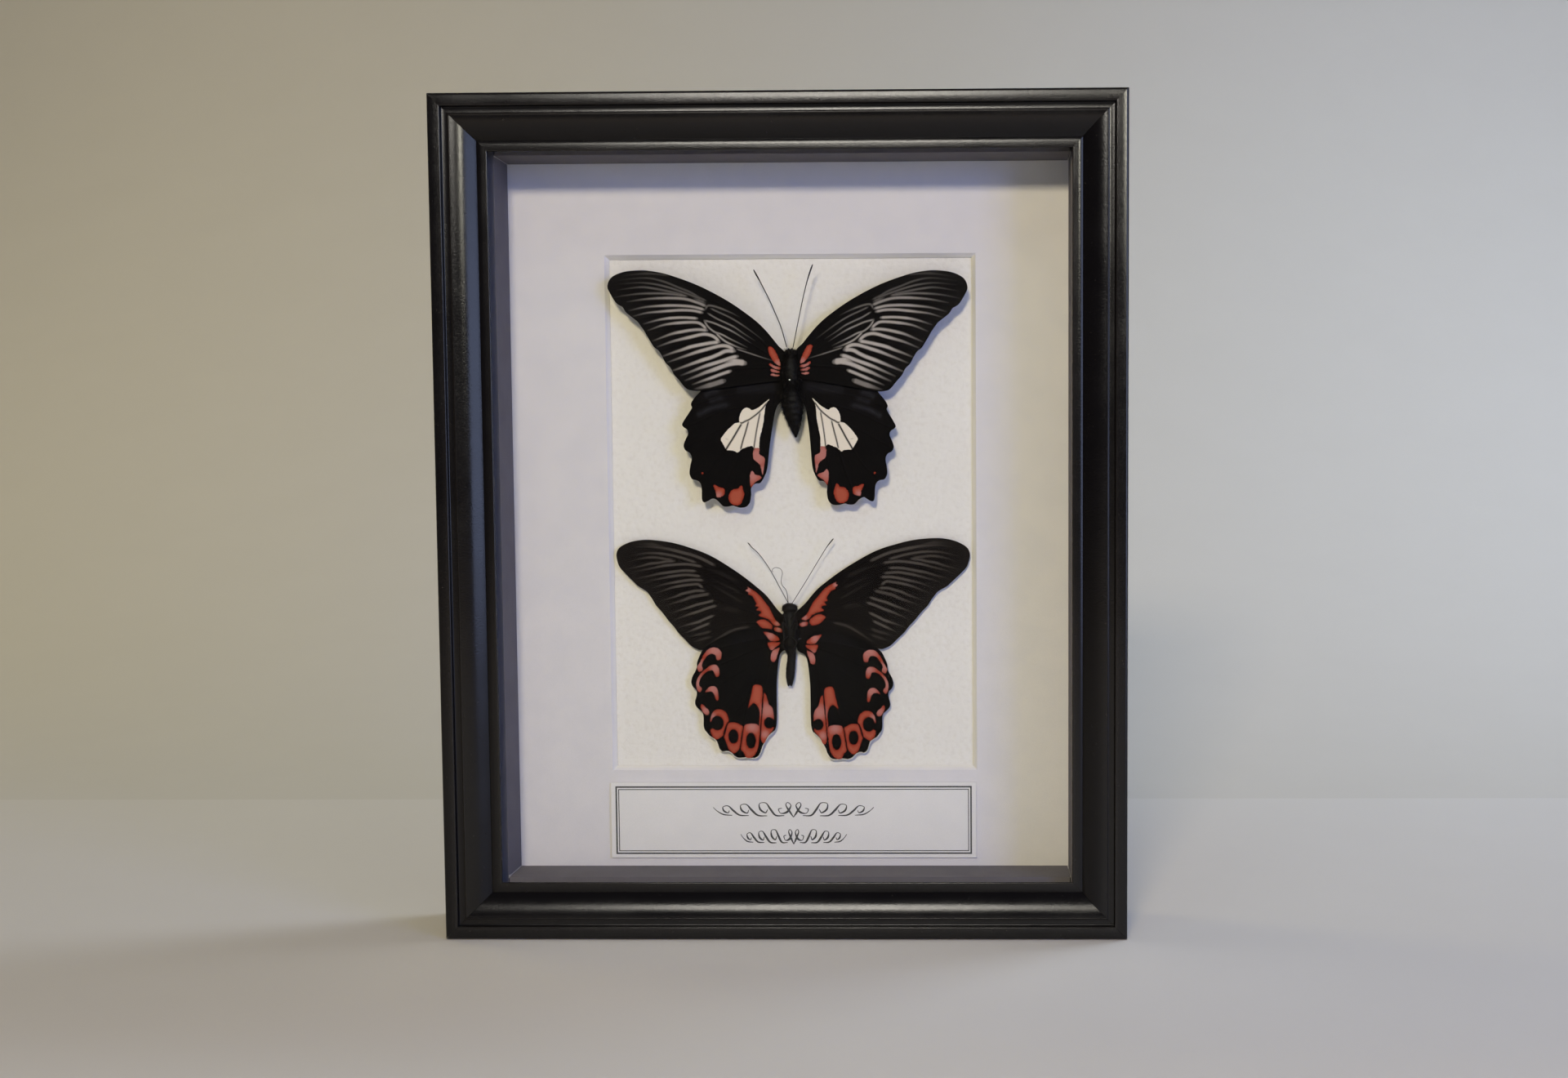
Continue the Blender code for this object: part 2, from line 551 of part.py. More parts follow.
def build_upper_body(material, collection, cutters):
    """The upper body, bored for the pin."""
    body = round_piece("upper_body", UPPER_BODY, 14, material, collection)
    bore = cylinder("pin_bore", PIN_RADIUS + GAP, FRAME_DEPTH,
                    front_point(PIN_AT[0] * MM, PIN_AT[1] * MM, UPPER_FOREWING_DEPTH),
                    material, collection)
    combine(body, bore, "DIFFERENCE", cutters)


def build_lower_body(material, collection, cutters):
    """The lower body, seen from below, with three pairs of folded legs."""
    body = round_piece("lower_body", LOWER_BODY, 14, material, collection)
    for pair, stations in enumerate(LEGS):
        mirrored = [(2 * LEG_AXIS_X - x, z, depth, radius) for x, z, depth, radius in stations]
        for side, leg_stations in (("left", stations), ("right", mirrored)):
            leg = round_piece(f"leg_{pair}_{side}", leg_stations, 6, material, collection)
            combine(body, leg, "UNION", cutters)


def build_pin(material, collection):
    """The pin, from its cut head to the mounting card."""
    foot_depth = CARD_DEPTH - GAP
    x, z = PIN_AT[0] * MM, PIN_AT[1] * MM
    stations = [(front_point(x, z, PIN_HEAD_DEPTH), PIN_RADIUS),
                (front_point(x, z, foot_depth), PIN_RADIUS)]
    mesh_from_curve(tube_curve("upper_pin", stations, 8), material, collection)


def build_specimens(materials, collection, cutters):
    for name in WINGS:
        build_wing(name, materials["wing"], collection)
    build_upper_body(materials["body"], collection, cutters)
    build_lower_body(materials["body"], collection, cutters)
    build_pin(materials["steel"], collection)
    feelers = {
        "upper_antenna_left": UPPER_ANTENNA_LEFT,
        "upper_antenna_right": UPPER_ANTENNA_RIGHT,
        "lower_antenna_left": LOWER_ANTENNA_LEFT,
        "lower_antenna_right": LOWER_ANTENNA_RIGHT,
        "lower_proboscis": LOWER_PROBOSCIS,
    }
    for name, stations in feelers.items():
        round_piece(name, stations, 6, materials["feeler"], collection)


def main():
    clear_scene()
    collection = new_collection("framed_butterfly_specimen")
    cutters = new_collection("cutters")
    materials = {name: make_material(name) for name in FINISHES}

    rails = build_rails(materials["black_wood"], collection)
    sheet("glass_pane", SHEET_WIDTH, SHEET_HEIGHT, GLASS_DEPTH, GLASS_THICKNESS,
          materials["glass"], collection)
    build_spacers(materials["grey_board"], collection)
    build_mat(materials["mat_board"], collection)
    sheet("mount_card", SHEET_WIDTH, SHEET_HEIGHT, CARD_DEPTH, CARD_THICKNESS,
          materials["mount_card"], collection)
    panel = sheet("back_panel", SHEET_WIDTH, SHEET_HEIGHT, PANEL_DEPTH, PANEL_THICKNESS,
                  materials["back_panel"], collection)
    build_label(materials["label_paper"], collection)
    build_tabs(rails, materials["steel"], collection, cutters)
    build_hanger(panel, materials["steel"], collection, cutters)
    build_specimens(materials, collection, cutters)


main()
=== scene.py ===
"""Looks of the framed butterfly specimen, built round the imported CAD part.

Lengths are written in millimetres. A place in the frame is (x, z, depth): x to the right and z
up from the middle of the frame, depth from its front towards the wall. A place on a wing is
(outwards, upwards) from the wing's root. front() turns both into metres for Blender.
"""

import logging
import math
from contextlib import contextmanager
from dataclasses import dataclass, field
from enum import Enum
from typing import Callable, Iterator, Sequence

import bmesh
import bpy
import numpy as np
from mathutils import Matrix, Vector


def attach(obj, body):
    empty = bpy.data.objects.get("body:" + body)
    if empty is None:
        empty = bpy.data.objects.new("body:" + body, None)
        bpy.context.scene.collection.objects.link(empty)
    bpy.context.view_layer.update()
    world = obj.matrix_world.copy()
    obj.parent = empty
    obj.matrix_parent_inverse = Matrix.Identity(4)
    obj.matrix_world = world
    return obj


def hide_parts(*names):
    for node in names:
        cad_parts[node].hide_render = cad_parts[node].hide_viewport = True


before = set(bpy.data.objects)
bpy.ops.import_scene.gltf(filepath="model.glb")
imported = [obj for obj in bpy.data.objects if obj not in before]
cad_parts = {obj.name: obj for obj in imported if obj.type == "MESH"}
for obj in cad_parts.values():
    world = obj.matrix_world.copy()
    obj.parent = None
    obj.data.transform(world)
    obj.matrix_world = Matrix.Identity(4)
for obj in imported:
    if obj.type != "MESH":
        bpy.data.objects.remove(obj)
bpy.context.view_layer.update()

LOG = logging.getLogger("butterfly_frame")

MM = 0.001
FRAME_WIDTH, FRAME_HEIGHT, FRAME_DEPTH = 227.5, 278.5, 39.0
RANDOM_SEED = 4711

Pair = tuple[float, float]
Triple = tuple[float, float, float]
Colour = tuple[float, float, float]
Piece = bpy.types.Object
Socket = bpy.types.NodeSocket


def front(x: float, z: float, depth: float) -> Vector:
    """World place, in metres, of a place in the frame given in millimetres."""
    return Vector((x * MM, (depth - FRAME_DEPTH / 2) * MM, (z + FRAME_HEIGHT / 2) * MM))


def sheet_points(x: np.ndarray, z: np.ndarray, depth: np.ndarray) -> np.ndarray:
    """The same as front() for whole arrays of points."""
    return np.stack([x, depth - FRAME_DEPTH / 2, z + FRAME_HEIGHT / 2], axis=1) * MM


# ---------------------------------------------------------------------------------------------
# The bench: operators that every piece is made with
# ---------------------------------------------------------------------------------------------

class Part(Enum):
    """What is selected in edit mode."""

    FACES = "FACE"
    EDGES = "EDGE"
    POINTS = "VERT"


class Bench:
    """Selecting, editing and finishing pieces."""

    @staticmethod
    def clear() -> None:
        """Deselect everything."""
        bpy.ops.object.select_all(action="DESELECT")

    @staticmethod
    def take(piece: Piece) -> None:
        """Make one piece the only selected and active one.

        Args:
            piece: The piece to work on.
        """
        Bench.clear()
        piece.select_set(True)
        bpy.context.view_layer.objects.active = piece

    @staticmethod
    def named(name: str) -> Piece:
        """Name the object that an operator has just added.

        Args:
            name: The piece's name.

        Returns:
            The new piece.
        """
        piece = bpy.context.object
        piece.name = name
        piece.data.name = name
        return piece

    @staticmethod
    @contextmanager
    def editing(piece: Piece, part: Part = Part.FACES) -> Iterator[None]:
        """Edit mode on one piece with nothing selected.

        Args:
            piece: The piece to edit.
            part: The kind of selection.
        """
        Bench.take(piece)
        bpy.ops.object.mode_set(mode="EDIT")
        bpy.ops.mesh.select_mode(type=part.value)
        bpy.ops.mesh.select_all(action="DESELECT")
        yield
        bpy.ops.object.mode_set(mode="OBJECT")

    @staticmethod
    def pick(piece: Piece, part: Part, test: Callable[[Vector, Vector], bool]) -> int:
        """Select faces, edges or points by place and normal, in edit mode.

        Args:
            piece: The piece in edit mode.
            part: What to select.
            test: Says from the middle, in metres, and the normal whether to select it.

        Returns:
            How many were selected.
        """
        bpy.ops.mesh.select_all(action="DESELECT")
        shape = bmesh.from_edit_mesh(piece.data)
        count = 0
        if part is Part.FACES:
            for face in shape.faces:
                if test(face.calc_center_median(), face.normal):
                    face.select_set(True)
                    count += 1
        elif part is Part.EDGES:
            for edge in shape.edges:
                if test((edge.verts[0].co + edge.verts[1].co) / 2,
                        (edge.verts[1].co - edge.verts[0].co).normalized()):
                    edge.select_set(True)
                    count += 1
        else:
            for point in shape.verts:
                if test(point.co, point.normal):
                    point.select_set(True)
                    count += 1
        bmesh.update_edit_mesh(piece.data)
        return count

    @staticmethod
    def points(piece: Piece) -> np.ndarray:
        """All the mesh's points, in metres, as an array of rows."""
        places = np.empty(len(piece.data.vertices) * 3)
        piece.data.vertices.foreach_get("co", places)
        return places.reshape(-1, 3)

    @staticmethod
    def move_points(piece: Piece, places: np.ndarray) -> None:
        """Put the mesh's points at new places, in metres."""
        piece.data.vertices.foreach_set("co", places.ravel())
        piece.data.update()

    @staticmethod
    def note(piece: Piece, name: str, values: np.ndarray) -> None:
        """Keep one number per point of a piece, for its finish to read."""
        layer = piece.data.attributes.new(name, "FLOAT", "POINT")
        layer.data.foreach_set("value", np.ascontiguousarray(values, dtype=np.float32))

    @staticmethod
    def tidy(piece: Piece, merge: float = 0.0) -> None:
        """Merge doubles and turn all the faces outwards.

        Args:
            piece: The piece.
            merge: Distance within which points are merged, in millimetres.
        """
        with Bench.editing(piece):
            bpy.ops.mesh.select_all(action="SELECT")
            if merge:
                bpy.ops.mesh.remove_doubles(threshold=merge * MM)
            bpy.ops.mesh.normals_make_consistent(inside=False)

    @staticmethod
    def smooth(piece: Piece, angle: float = 35.0) -> None:
        """Shade a piece smooth, with edges sharper than an angle kept.

        Args:
            piece: The piece.
            angle: The angle in degrees.
        """
        Bench.take(piece)
        bpy.ops.object.shade_smooth_by_angle(angle=math.radians(angle))

    @staticmethod
    def settle(piece: Piece) -> None:
        """Put place, turn and size into the mesh and apply all modifiers."""
        Bench.take(piece)
        bpy.ops.object.transform_apply(location=True, rotation=True, scale=True)
        for modifier in list(piece.modifiers):
            bpy.ops.object.modifier_apply(modifier=modifier.name)

    @staticmethod
    def joined(name: str, pieces: Sequence[Piece]) -> Piece:
        """Join several objects to one.

        Args:
            name: The joined piece's name.
            pieces: What is joined.

        Returns:
            The joined piece.
        """
        Bench.clear()
        for piece in pieces:
            piece.select_set(True)
        bpy.context.view_layer.objects.active = pieces[0]
        if len(pieces) > 1:
            bpy.ops.object.join()
        return Bench.named(name)

    @staticmethod
    def hand_over(piece: Piece, finish: bpy.types.Material, slot: str, *nodes: str) -> Piece:
        """Dress a finished piece and hang it on the frame.

        Args:
            piece: The piece, already at its place.
            finish: Its material.
            slot: The record's material slot; not used.
            nodes: CAD nodes that it stands for.

        Returns:
            The piece.
        """
        piece.data.materials.clear()
        piece.data.materials.append(finish)
        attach(piece, "root")
        if nodes:
            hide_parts(*nodes)
        LOG.info("%s: %d faces", piece.name, len(piece.data.polygons))
        return piece


def thread(name: str, stations: Sequence[tuple[float, float, float, float]], sides: int,
           smoothing: int = 0) -> Piece:
    """A round thread drawn as a curve with a bevel and made a mesh.

    Args:
        name: The piece's name.
        stations: (x, z, depth, radius) in millimetres from end to end.
        sides: Number of sides.
        smoothing: Points put between two stations on a smooth curve.

    Returns:
        The piece, closed at both ends.
    """
    rows = np.array(stations, dtype=float)
    if smoothing:
        rows = smooth_line(rows, smoothing, closed=False)
    curve = bpy.data.curves.new(name, "CURVE")
    curve.dimensions = "3D"
    curve.bevel_depth = 1.0
    curve.bevel_resolution = max(sides // 2 - 2, 0)
    curve.use_fill_caps = True
    spline = curve.splines.new("POLY")
    spline.points.add(len(rows) - 1)
    for point, (x, z, depth, radius) in zip(spline.points, rows):
        point.co = (*front(x, z, depth), 1.0)
        point.radius = radius * MM
    piece = bpy.data.objects.new(name, curve)
    bpy.context.scene.collection.objects.link(piece)
    Bench.take(piece)
    bpy.ops.object.convert(target="MESH")
    piece = Bench.named(name)
    Bench.tidy(piece, merge=0.001)
    Bench.smooth(piece, 60.0)
    return piece


def smooth_line(rows: np.ndarray, steps: int, closed: bool) -> np.ndarray:
    """A smooth curve that passes through every point given.

    Args:
        rows: One point per row.
        steps: Pieces that each stretch between two points is cut into.
        closed: Whether the last point joins the first.

    Returns:
        The points of the smooth curve.
    """
    count = len(rows)
    if closed:
        padded = np.vstack([rows[-1], rows, rows[0], rows[1]])
        stretches = count
    else:
        padded = np.vstack([2 * rows[0] - rows[1], rows, 2 * rows[-1] - rows[-2]])
        stretches = count - 1
    share = (np.arange(steps) / steps)[:, None]
    result = []
    for index in range(stretches):
        before, start, end, after = padded[index:index + 4]
        result.append(0.5 * (2 * start + (end - before) * share
                             + (2 * before - 5 * start + 4 * end - after) * share ** 2
                             + (3 * start - before - 3 * end + after) * share ** 3))
    if not closed:
        result.append(rows[-1:])
    return np.vstack(result)


# ---------------------------------------------------------------------------------------------
# Finishes
# ---------------------------------------------------------------------------------------------

class Recipe:
    """One material's node tree, wired step by step."""

    def __init__(self, name: str, roughness: float, **constants: float) -> None:
        """Start a material.

        Args:
            name: The material's name.
            roughness: Its roughness where nothing else sets it.
            constants: Other numbers of the shader, written with _ for each space.
        """
        self.material = bpy.data.materials.new(name)
        self.material.use_nodes = True
        self.tree = self.material.node_tree
        self.shader = self.tree.nodes["Principled BSDF"]
        self.shader.inputs["Roughness"].default_value = roughness
        for socket, value in constants.items():
            self.shader.inputs[socket.replace("_", " ")].default_value = value

    def node(self, kind: str, inputs: dict[int | str, object], out: int | str = 0,
             **settings: object) -> Socket:
        """Add a node.

        Args:
            kind: Its type, without ShaderNode.
            inputs: What goes into each input: a socket or a plain value.
            out: The output that is used.
            settings: The node's own settings.

        Returns:
            The output socket.
        """
        made = self.tree.nodes.new("ShaderNode" + kind)
        for key, value in settings.items():
            setattr(made, key, value)
        for key, value in inputs.items():
            if isinstance(value, bpy.types.NodeSocket):
                self.tree.links.new(value, made.inputs[key])
            else:
                made.inputs[key].default_value = value
        return made.outputs[out]

    def place(self, stretch: Triple = (1.0, 1.0, 1.0)) -> Socket:
        """Object coordinates, scaled along each axis."""
        coordinates = self.node("TexCoord", {}, "Object")
        return self.node("Mapping", {"Vector": coordinates, "Scale": stretch})

    def noted(self, name: str) -> Socket:
        """A number kept with the mesh."""
        return self.node("Attribute", {}, "Fac", attribute_name=name)

    def noise(self, vector: Socket, size: float, detail: float = 2.0,
              roughness: float = 0.5) -> Socket:
        """Cloudy noise from 0 to 1, its lumps about the given size in millimetres."""
        return self.node("TexNoise", {"Vector": vector, "Scale": 1.0 / (size * MM),
                                      "Detail": detail, "Roughness": roughness})

    def sum(self, operation: str, first: object, second: object = 0.0) -> Socket:
        """A math node on two values."""
        return self.node("Math", {0: first, 1: second}, operation=operation)

    def blend(self, share: object, first: object, second: object) -> Socket:
        """A colour between two colours."""
        colours = [value if isinstance(value, bpy.types.NodeSocket) else (*value, 1.0)
                   for value in (first, second)]
        return self.node("Mix", {0: share, 6: colours[0], 7: colours[1]}, 2,
                         data_type="RGBA")

    def steps(self, value: object, low: float, high: float, start: float = 0.0,
              end: float = 1.0) -> Socket:
        """A smooth step: start below low, end above high."""
        return self.node("MapRange", {"Value": value, "From Min": low, "From Max": high,
                                      "To Min": start, "To Max": end},
                         interpolation_type="SMOOTHSTEP")

    def bump(self, height: Socket, depth: float, under: Socket | None = None) -> Socket:
        """Relief of a given depth in millimetres, on top of other relief."""
        inputs: dict[int | str, object] = {"Height": height, "Distance": depth * MM,
                                           "Strength": 1.0}
        if under is not None:
            inputs["Normal"] = under
        return self.node("Bump", inputs)

    def done(self, colour: object, roughness: Socket | None = None,
             normal: Socket | None = None) -> bpy.types.Material:
        """Join colour, roughness and relief to the shader.

        Args:
            colour: A socket or a plain colour.
            roughness: A socket, or None where it is the same all over.
            normal: The relief, or None.

        Returns:
            The finished material.
        """
        if isinstance(colour, bpy.types.NodeSocket):
            self.tree.links.new(colour, self.shader.inputs["Base Color"])
        else:
            self.shader.inputs["Base Color"].default_value = (*colour, 1.0)
        if roughness is not None:
            self.tree.links.new(roughness, self.shader.inputs["Roughness"])
        if normal is not None:
            self.tree.links.new(normal, self.shader.inputs["Normal"])
        return self.material


class Grain(Enum):
    """Which way the wood grain under the paint runs: the stretch of the noise on X, Y and Z."""

    ALONG_X = (0.045, 1.0, 1.0)
    ALONG_Z = (1.0, 1.0, 0.045)


@dataclass(frozen=True)
class BlackPaint:
    """Satin black paint on moulded wood, grain showing; wear and a painted highlight on the arrises.
    """

    grain: Grain
    colour: Colour = (0.0034, 0.0030, 0.0032)
    wear_and_edge_highlight: Colour = (0.085, 0.078, 0.068)
    roughness: Pair = (0.14, 0.24)

    def make(self) -> bpy.types.Material:
        """The material."""
        mix = Recipe("black_paint_" + self.grain.name.lower(), 0.3, Specular_IOR_Level=0.28)
        place = mix.place()
        fibres = mix.noise(mix.place(self.grain.value), 0.35, 3.0, 0.6)
        pores = mix.noise(mix.place(self.grain.value), 0.9, 2.0, 0.5)
        stipple = mix.noise(place, 0.55, 3.0, 0.6)
        clouds = mix.noise(place, 14.0, 2.0, 0.5)
        specks = mix.steps(mix.noise(place, 0.8, 1.0, 0.5), 0.74, 0.80)
        rubbed = mix.sum("MULTIPLY", mix.noted("arris"),
                         mix.steps(mix.noise(place, 0.9, 3.0, 0.6), 0.60, 0.78))
        base = mix.blend(clouds, self.colour, tuple(1.5 * c for c in self.colour))
        base = mix.blend(mix.sum("MULTIPLY", specks, 0.25), base, self.wear_and_edge_highlight)
        base = mix.blend(mix.sum("MULTIPLY", rubbed, 0.35), base, self.wear_and_edge_highlight)
        # Painted highlight, partly wear too: every arris is blended a little towards the pale wear
        # colour.
        base = mix.blend(mix.sum("MULTIPLY", mix.noted("arris"), 0.10), base, self.wear_and_edge_highlight)
        rough = mix.steps(mix.sum("ADD", mix.sum("MULTIPLY", stipple, 0.6),
                                  mix.sum("MULTIPLY", clouds, 0.4)), 0.3, 0.7,
                          *self.roughness)
        rough = mix.sum("SUBTRACT", rough, mix.sum("MULTIPLY", mix.noted("arris"), 0.05))
        relief = mix.bump(fibres, 0.002)
        relief = mix.bump(pores, 0.003, relief)
        relief = mix.bump(stipple, 0.028, relief)
        return mix.done(base, rough, relief)


@dataclass(frozen=True)
class ClearGlass:
    """Clear sheet glass: light goes straight through, and only its gloss is seen."""

    tint: Colour = (0.972, 0.985, 0.978)
    index: float = 1.10

    def make(self) -> bpy.types.Material:
        """The material."""
        mix = Recipe("clear_glass", 0.01)
        tree = mix.tree
        gloss = mix.node("Fresnel", {"IOR": self.index})
        clear = mix.node("BsdfTransparent", {"Color": (*self.tint, 1.0)})
        mirror = mix.node("BsdfGlossy", {"Color": (1.0, 1.0, 1.0, 1.0), "Roughness": 0.01})
        both = mix.node("MixShader", {0: gloss, 1: clear, 2: mirror})
        tree.nodes.remove(mix.shader)
        tree.links.new(both, tree.nodes["Material Output"].inputs["Surface"])
        return mix.material


@dataclass(frozen=True)
class FacedBoard:
    """Board faced with coloured paper: fine fibres, slight cloudiness and a soft tooth."""

    name: str
    colour: Colour
    other: Colour
    tooth: float = 0.012
    fibre: float = 0.4

    def make(self) -> bpy.types.Material:
        """The material."""
        mix = Recipe(self.name, 0.82, Specular_IOR_Level=0.25)
        place = mix.place()
        fine = mix.noise(place, self.fibre, 4.0, 0.65)
        clouds = mix.noise(place, 9.0, 2.0, 0.5)
        share = mix.sum("ADD", mix.sum("MULTIPLY", fine, 0.6), mix.sum("MULTIPLY", clouds, 0.4))
        colour = mix.blend(mix.steps(share, 0.3, 0.7), self.colour, self.other)
        rough = mix.steps(fine, 0.3, 0.7, 0.76, 0.9)
        return mix.done(colour, rough, mix.bump(fine, self.tooth))


@dataclass(frozen=True)
class PressedPaper:
    """Rough-pressed off-white paper; the low places between its lumps are painted darker, as painted
    shade.
    """

    colour: Colour = (0.85, 0.835, 0.80)
    # Darker colour: painted shade in the low places of the relief, and large soft patches.
    pits: Colour = (0.81, 0.79, 0.75)

    def make(self) -> bpy.types.Material:
        """The material."""
        mix = Recipe("pressed_paper", 0.9, Specular_IOR_Level=0.2)
        place = mix.place()
        lumps = mix.noise(place, 1.3, 3.0, 0.55)
        fibres = mix.noise(place, 0.3, 3.0, 0.6)
        # Painted shade: the low places between the lumps take the darker colour.
        colour = mix.blend(mix.steps(lumps, 0.30, 0.52, 1.0, 0.0), self.colour, self.pits)
        colour = mix.blend(mix.steps(mix.noise(place, 30.0, 2.0), 0.3, 0.7, 0.0, 0.25), colour,
                           self.pits)
        relief = mix.bump(lumps, 0.12)
        return mix.done(colour, None, mix.bump(fibres, 0.03, relief))


@dataclass(frozen=True)
class PrinterInk:
    """Dark grey ink on card, a little uneven."""

    colour: Colour = (0.035, 0.035, 0.038)
    thin: Colour = (0.085, 0.085, 0.09)

    def make(self) -> bpy.types.Material:
        """The material."""
        mix = Recipe("printer_ink", 0.7)
        patchy = mix.noise(mix.place(), 0.25, 3.0, 0.6)
        return mix.done(mix.blend(mix.steps(patchy, 0.4, 0.65), self.colour, self.thin),
                        None, mix.bump(patchy, 0.005))


@dataclass(frozen=True)
class Hardboard:
    """Brown hardboard with a net pressed into it."""

    colour: Colour = (0.155, 0.090, 0.048)
    dark: Colour = (0.085, 0.047, 0.024)
    net_pitch: float = 1.6

    def make(self) -> bpy.types.Material:
        """The material."""
        mix = Recipe("hardboard", 0.72, Specular_IOR_Level=0.3)
        place = mix.place()
        wave = 2 * math.pi / (self.net_pitch * MM)
        split = mix.node("SeparateXYZ", {"Vector": place}, "X").node
        across = mix.sum("SINE", mix.sum("MULTIPLY", split.outputs["X"], wave))
        along = mix.sum("SINE", mix.sum("MULTIPLY", split.outputs["Z"], wave))
        net = mix.sum("MULTIPLY", across, along)
        fibres = mix.noise(mix.place((0.4, 1.0, 1.0)), 0.8, 5.0, 0.7)
        blots = mix.noise(place, 18.0, 3.0, 0.6)
        flecks = mix.steps(mix.noise(place, 1.3, 2.0, 0.7), 0.60, 0.70)
        colour = mix.blend(mix.steps(mix.sum("ADD", mix.sum("MULTIPLY", fibres, 0.5),
                                             mix.sum("MULTIPLY", blots, 0.5)), 0.35, 0.65),
                           self.dark, self.colour)
        colour = mix.blend(mix.sum("MULTIPLY", flecks, 0.4), colour, self.dark)
        colour = mix.blend(mix.steps(net, -0.2, -0.9, 0.0, 0.35), colour, self.dark)
        relief = mix.bump(net, 0.05)
        return mix.done(colour, mix.steps(fibres, 0.3, 0.7, 0.62, 0.8),
                        mix.bump(fibres, 0.03, relief))


@dataclass(frozen=True)
class PlatedSteel:
    """Zinc-plated steel, brushed and a little dull in places."""

    colour: Colour = (0.56, 0.56, 0.55)
    dull: Colour = (0.34, 0.33, 0.31)

    def make(self) -> bpy.types.Material:
        """The material."""
        mix = Recipe("plated_steel", 0.35, Metallic=1.0)
        brushed = mix.noise(mix.place((0.06, 1.0, 1.0)), 0.25, 3.0, 0.6)
        spots = mix.noise(mix.place(), 3.0, 3.0, 0.6)
        colour = mix.blend(mix.steps(spots, 0.4, 0.7), self.colour, self.dull)
        return mix.done(colour, mix.steps(brushed, 0.3, 0.7, 0.26, 0.48),
                        mix.bump(brushed, 0.006))


@dataclass(frozen=True)
class WingScales:
    """Velvet-like wing scales, coloured by the marks that the wing's mesh carries.

    The mesh notes, in millimetres inside the edge, red and white; from 0 to 1, ray, vein,
    sheen, pink and dust; and fan and reach, the two ways that the scales lie.
    """

    name: str
    ground: Colour
    ground_brown: Colour
    ray: Colour
    white: Colour = (0.82, 0.75, 0.64)
    red_deep: Colour = (0.30, 0.034, 0.017)
    red_pale: Colour = (0.41, 0.091, 0.052)
    pink: Colour = (0.475, 0.189, 0.164)
    sheen: Colour = (0.055, 0.055, 0.068)

    def make(self) -> bpy.types.Material:
        """The material."""
        mix = Recipe(self.name, 0.7, Specular_IOR_Level=0.03)
        place = mix.place()
        lay = mix.node("CombineXYZ", {"X": mix.noted("fan"), "Y": mix.noted("reach")})
        strands = mix.node("TexNoise", {"Vector": lay, "Scale": 1.0, "Detail": 3.0,
                                        "Roughness": 0.6})
        grit = mix.noise(place, 0.16, 2.0, 0.6)
        blur = mix.sum("SUBTRACT", mix.noise(place, 0.45, 3.0, 0.6), 0.5)
        ground = mix.blend(mix.steps(strands, 0.35, 0.65), self.ground, self.ground_brown)
        # Painted sheen: a blue-grey highlight is painted into the ground colour along the sheen
        # streaks.
        ground = mix.blend(mix.sum("MULTIPLY", mix.noted("sheen"),
                                   mix.steps(strands, 0.3, 0.7, 0.5, 1.0)), ground, self.sheen)
        ray_share = mix.sum("MULTIPLY", mix.noted("ray"), mix.steps(grit, 0.3, 0.7, 0.8, 1.0))
        colour = mix.blend(ray_share, ground, self.ray)
        white_edge = mix.sum("ADD", mix.noted("white"), mix.sum("MULTIPLY", blur, 0.6))
        colour = mix.blend(mix.steps(white_edge, -0.06, 0.10), colour, self.white)
        red_depth = mix.sum("ADD", mix.noted("red"), mix.sum("MULTIPLY", blur, 0.7))
        red = mix.blend(mix.steps(mix.sum("ADD", red_depth, mix.sum("MULTIPLY", strands, 0.9)),
                                  0.3, 1.7), self.red_deep, self.red_pale)
        red = mix.blend(mix.noted("pink"), red, self.pink)
        red = mix.blend(mix.steps(grit, 0.35, 0.25, 0.0, 0.3), red, self.red_deep)
        colour = mix.blend(mix.steps(red_depth, -0.10, 0.14), colour, red)
        colour = mix.blend(mix.noted("vein"), colour, self.ground)
        colour = mix.blend(mix.sum("MULTIPLY", mix.noted("dust"),
                                   mix.steps(grit, 0.4, 0.7, 0.4, 1.0)), colour, self.ray)
        relief = mix.bump(strands, 0.035)
        relief = mix.bump(grit, 0.02, relief)
        return mix.done(colour, mix.steps(strands, 0.3, 0.7, 0.52, 0.72), relief)


@dataclass(frozen=True)
class Cuticle:
    """Dark body shell, feeler or leg, with a little gloss."""

    name: str
    colour: Colour = (0.0045, 0.0038, 0.0036)
    pale: Colour = (0.014, 0.011, 0.010)
    roughness: float = 0.5

    def make(self) -> bpy.types.Material:
        """The material."""
        mix = Recipe(self.name, self.roughness, Specular_IOR_Level=0.10)
        place = mix.place()
        dust = mix.noise(place, 0.5, 3.0, 0.6)
        pits = mix.noise(place, 0.12, 2.0, 0.5)
        colour = mix.blend(mix.steps(dust, 0.4, 0.7), self.colour, self.pale)
        return mix.done(colour, mix.steps(dust, 0.3, 0.7, self.roughness - 0.1,
                                          self.roughness + 0.15), mix.bump(pits, 0.015))


@dataclass(frozen=True)
class Hair:
    """Fine hair, paler towards the tips; the mesh notes tip from 0 at the root to 1."""

    name: str
    root: Colour
    tip: Colour

    def make(self) -> bpy.types.Material:
        """The material."""
        mix = Recipe(self.name, 0.65, Specular_IOR_Level=0.06)
        varied = mix.sum("MULTIPLY", mix.noted("tip"),
                         mix.steps(mix.noise(mix.place(), 0.7, 2.0), 0.35, 0.65, 0.3, 1.0))
        return mix.done(mix.blend(varied, self.root, self.tip))


# ---------------------------------------------------------------------------------------------
# The wooden frame and what lies in its rabbet
# ---------------------------------------------------------------------------------------------

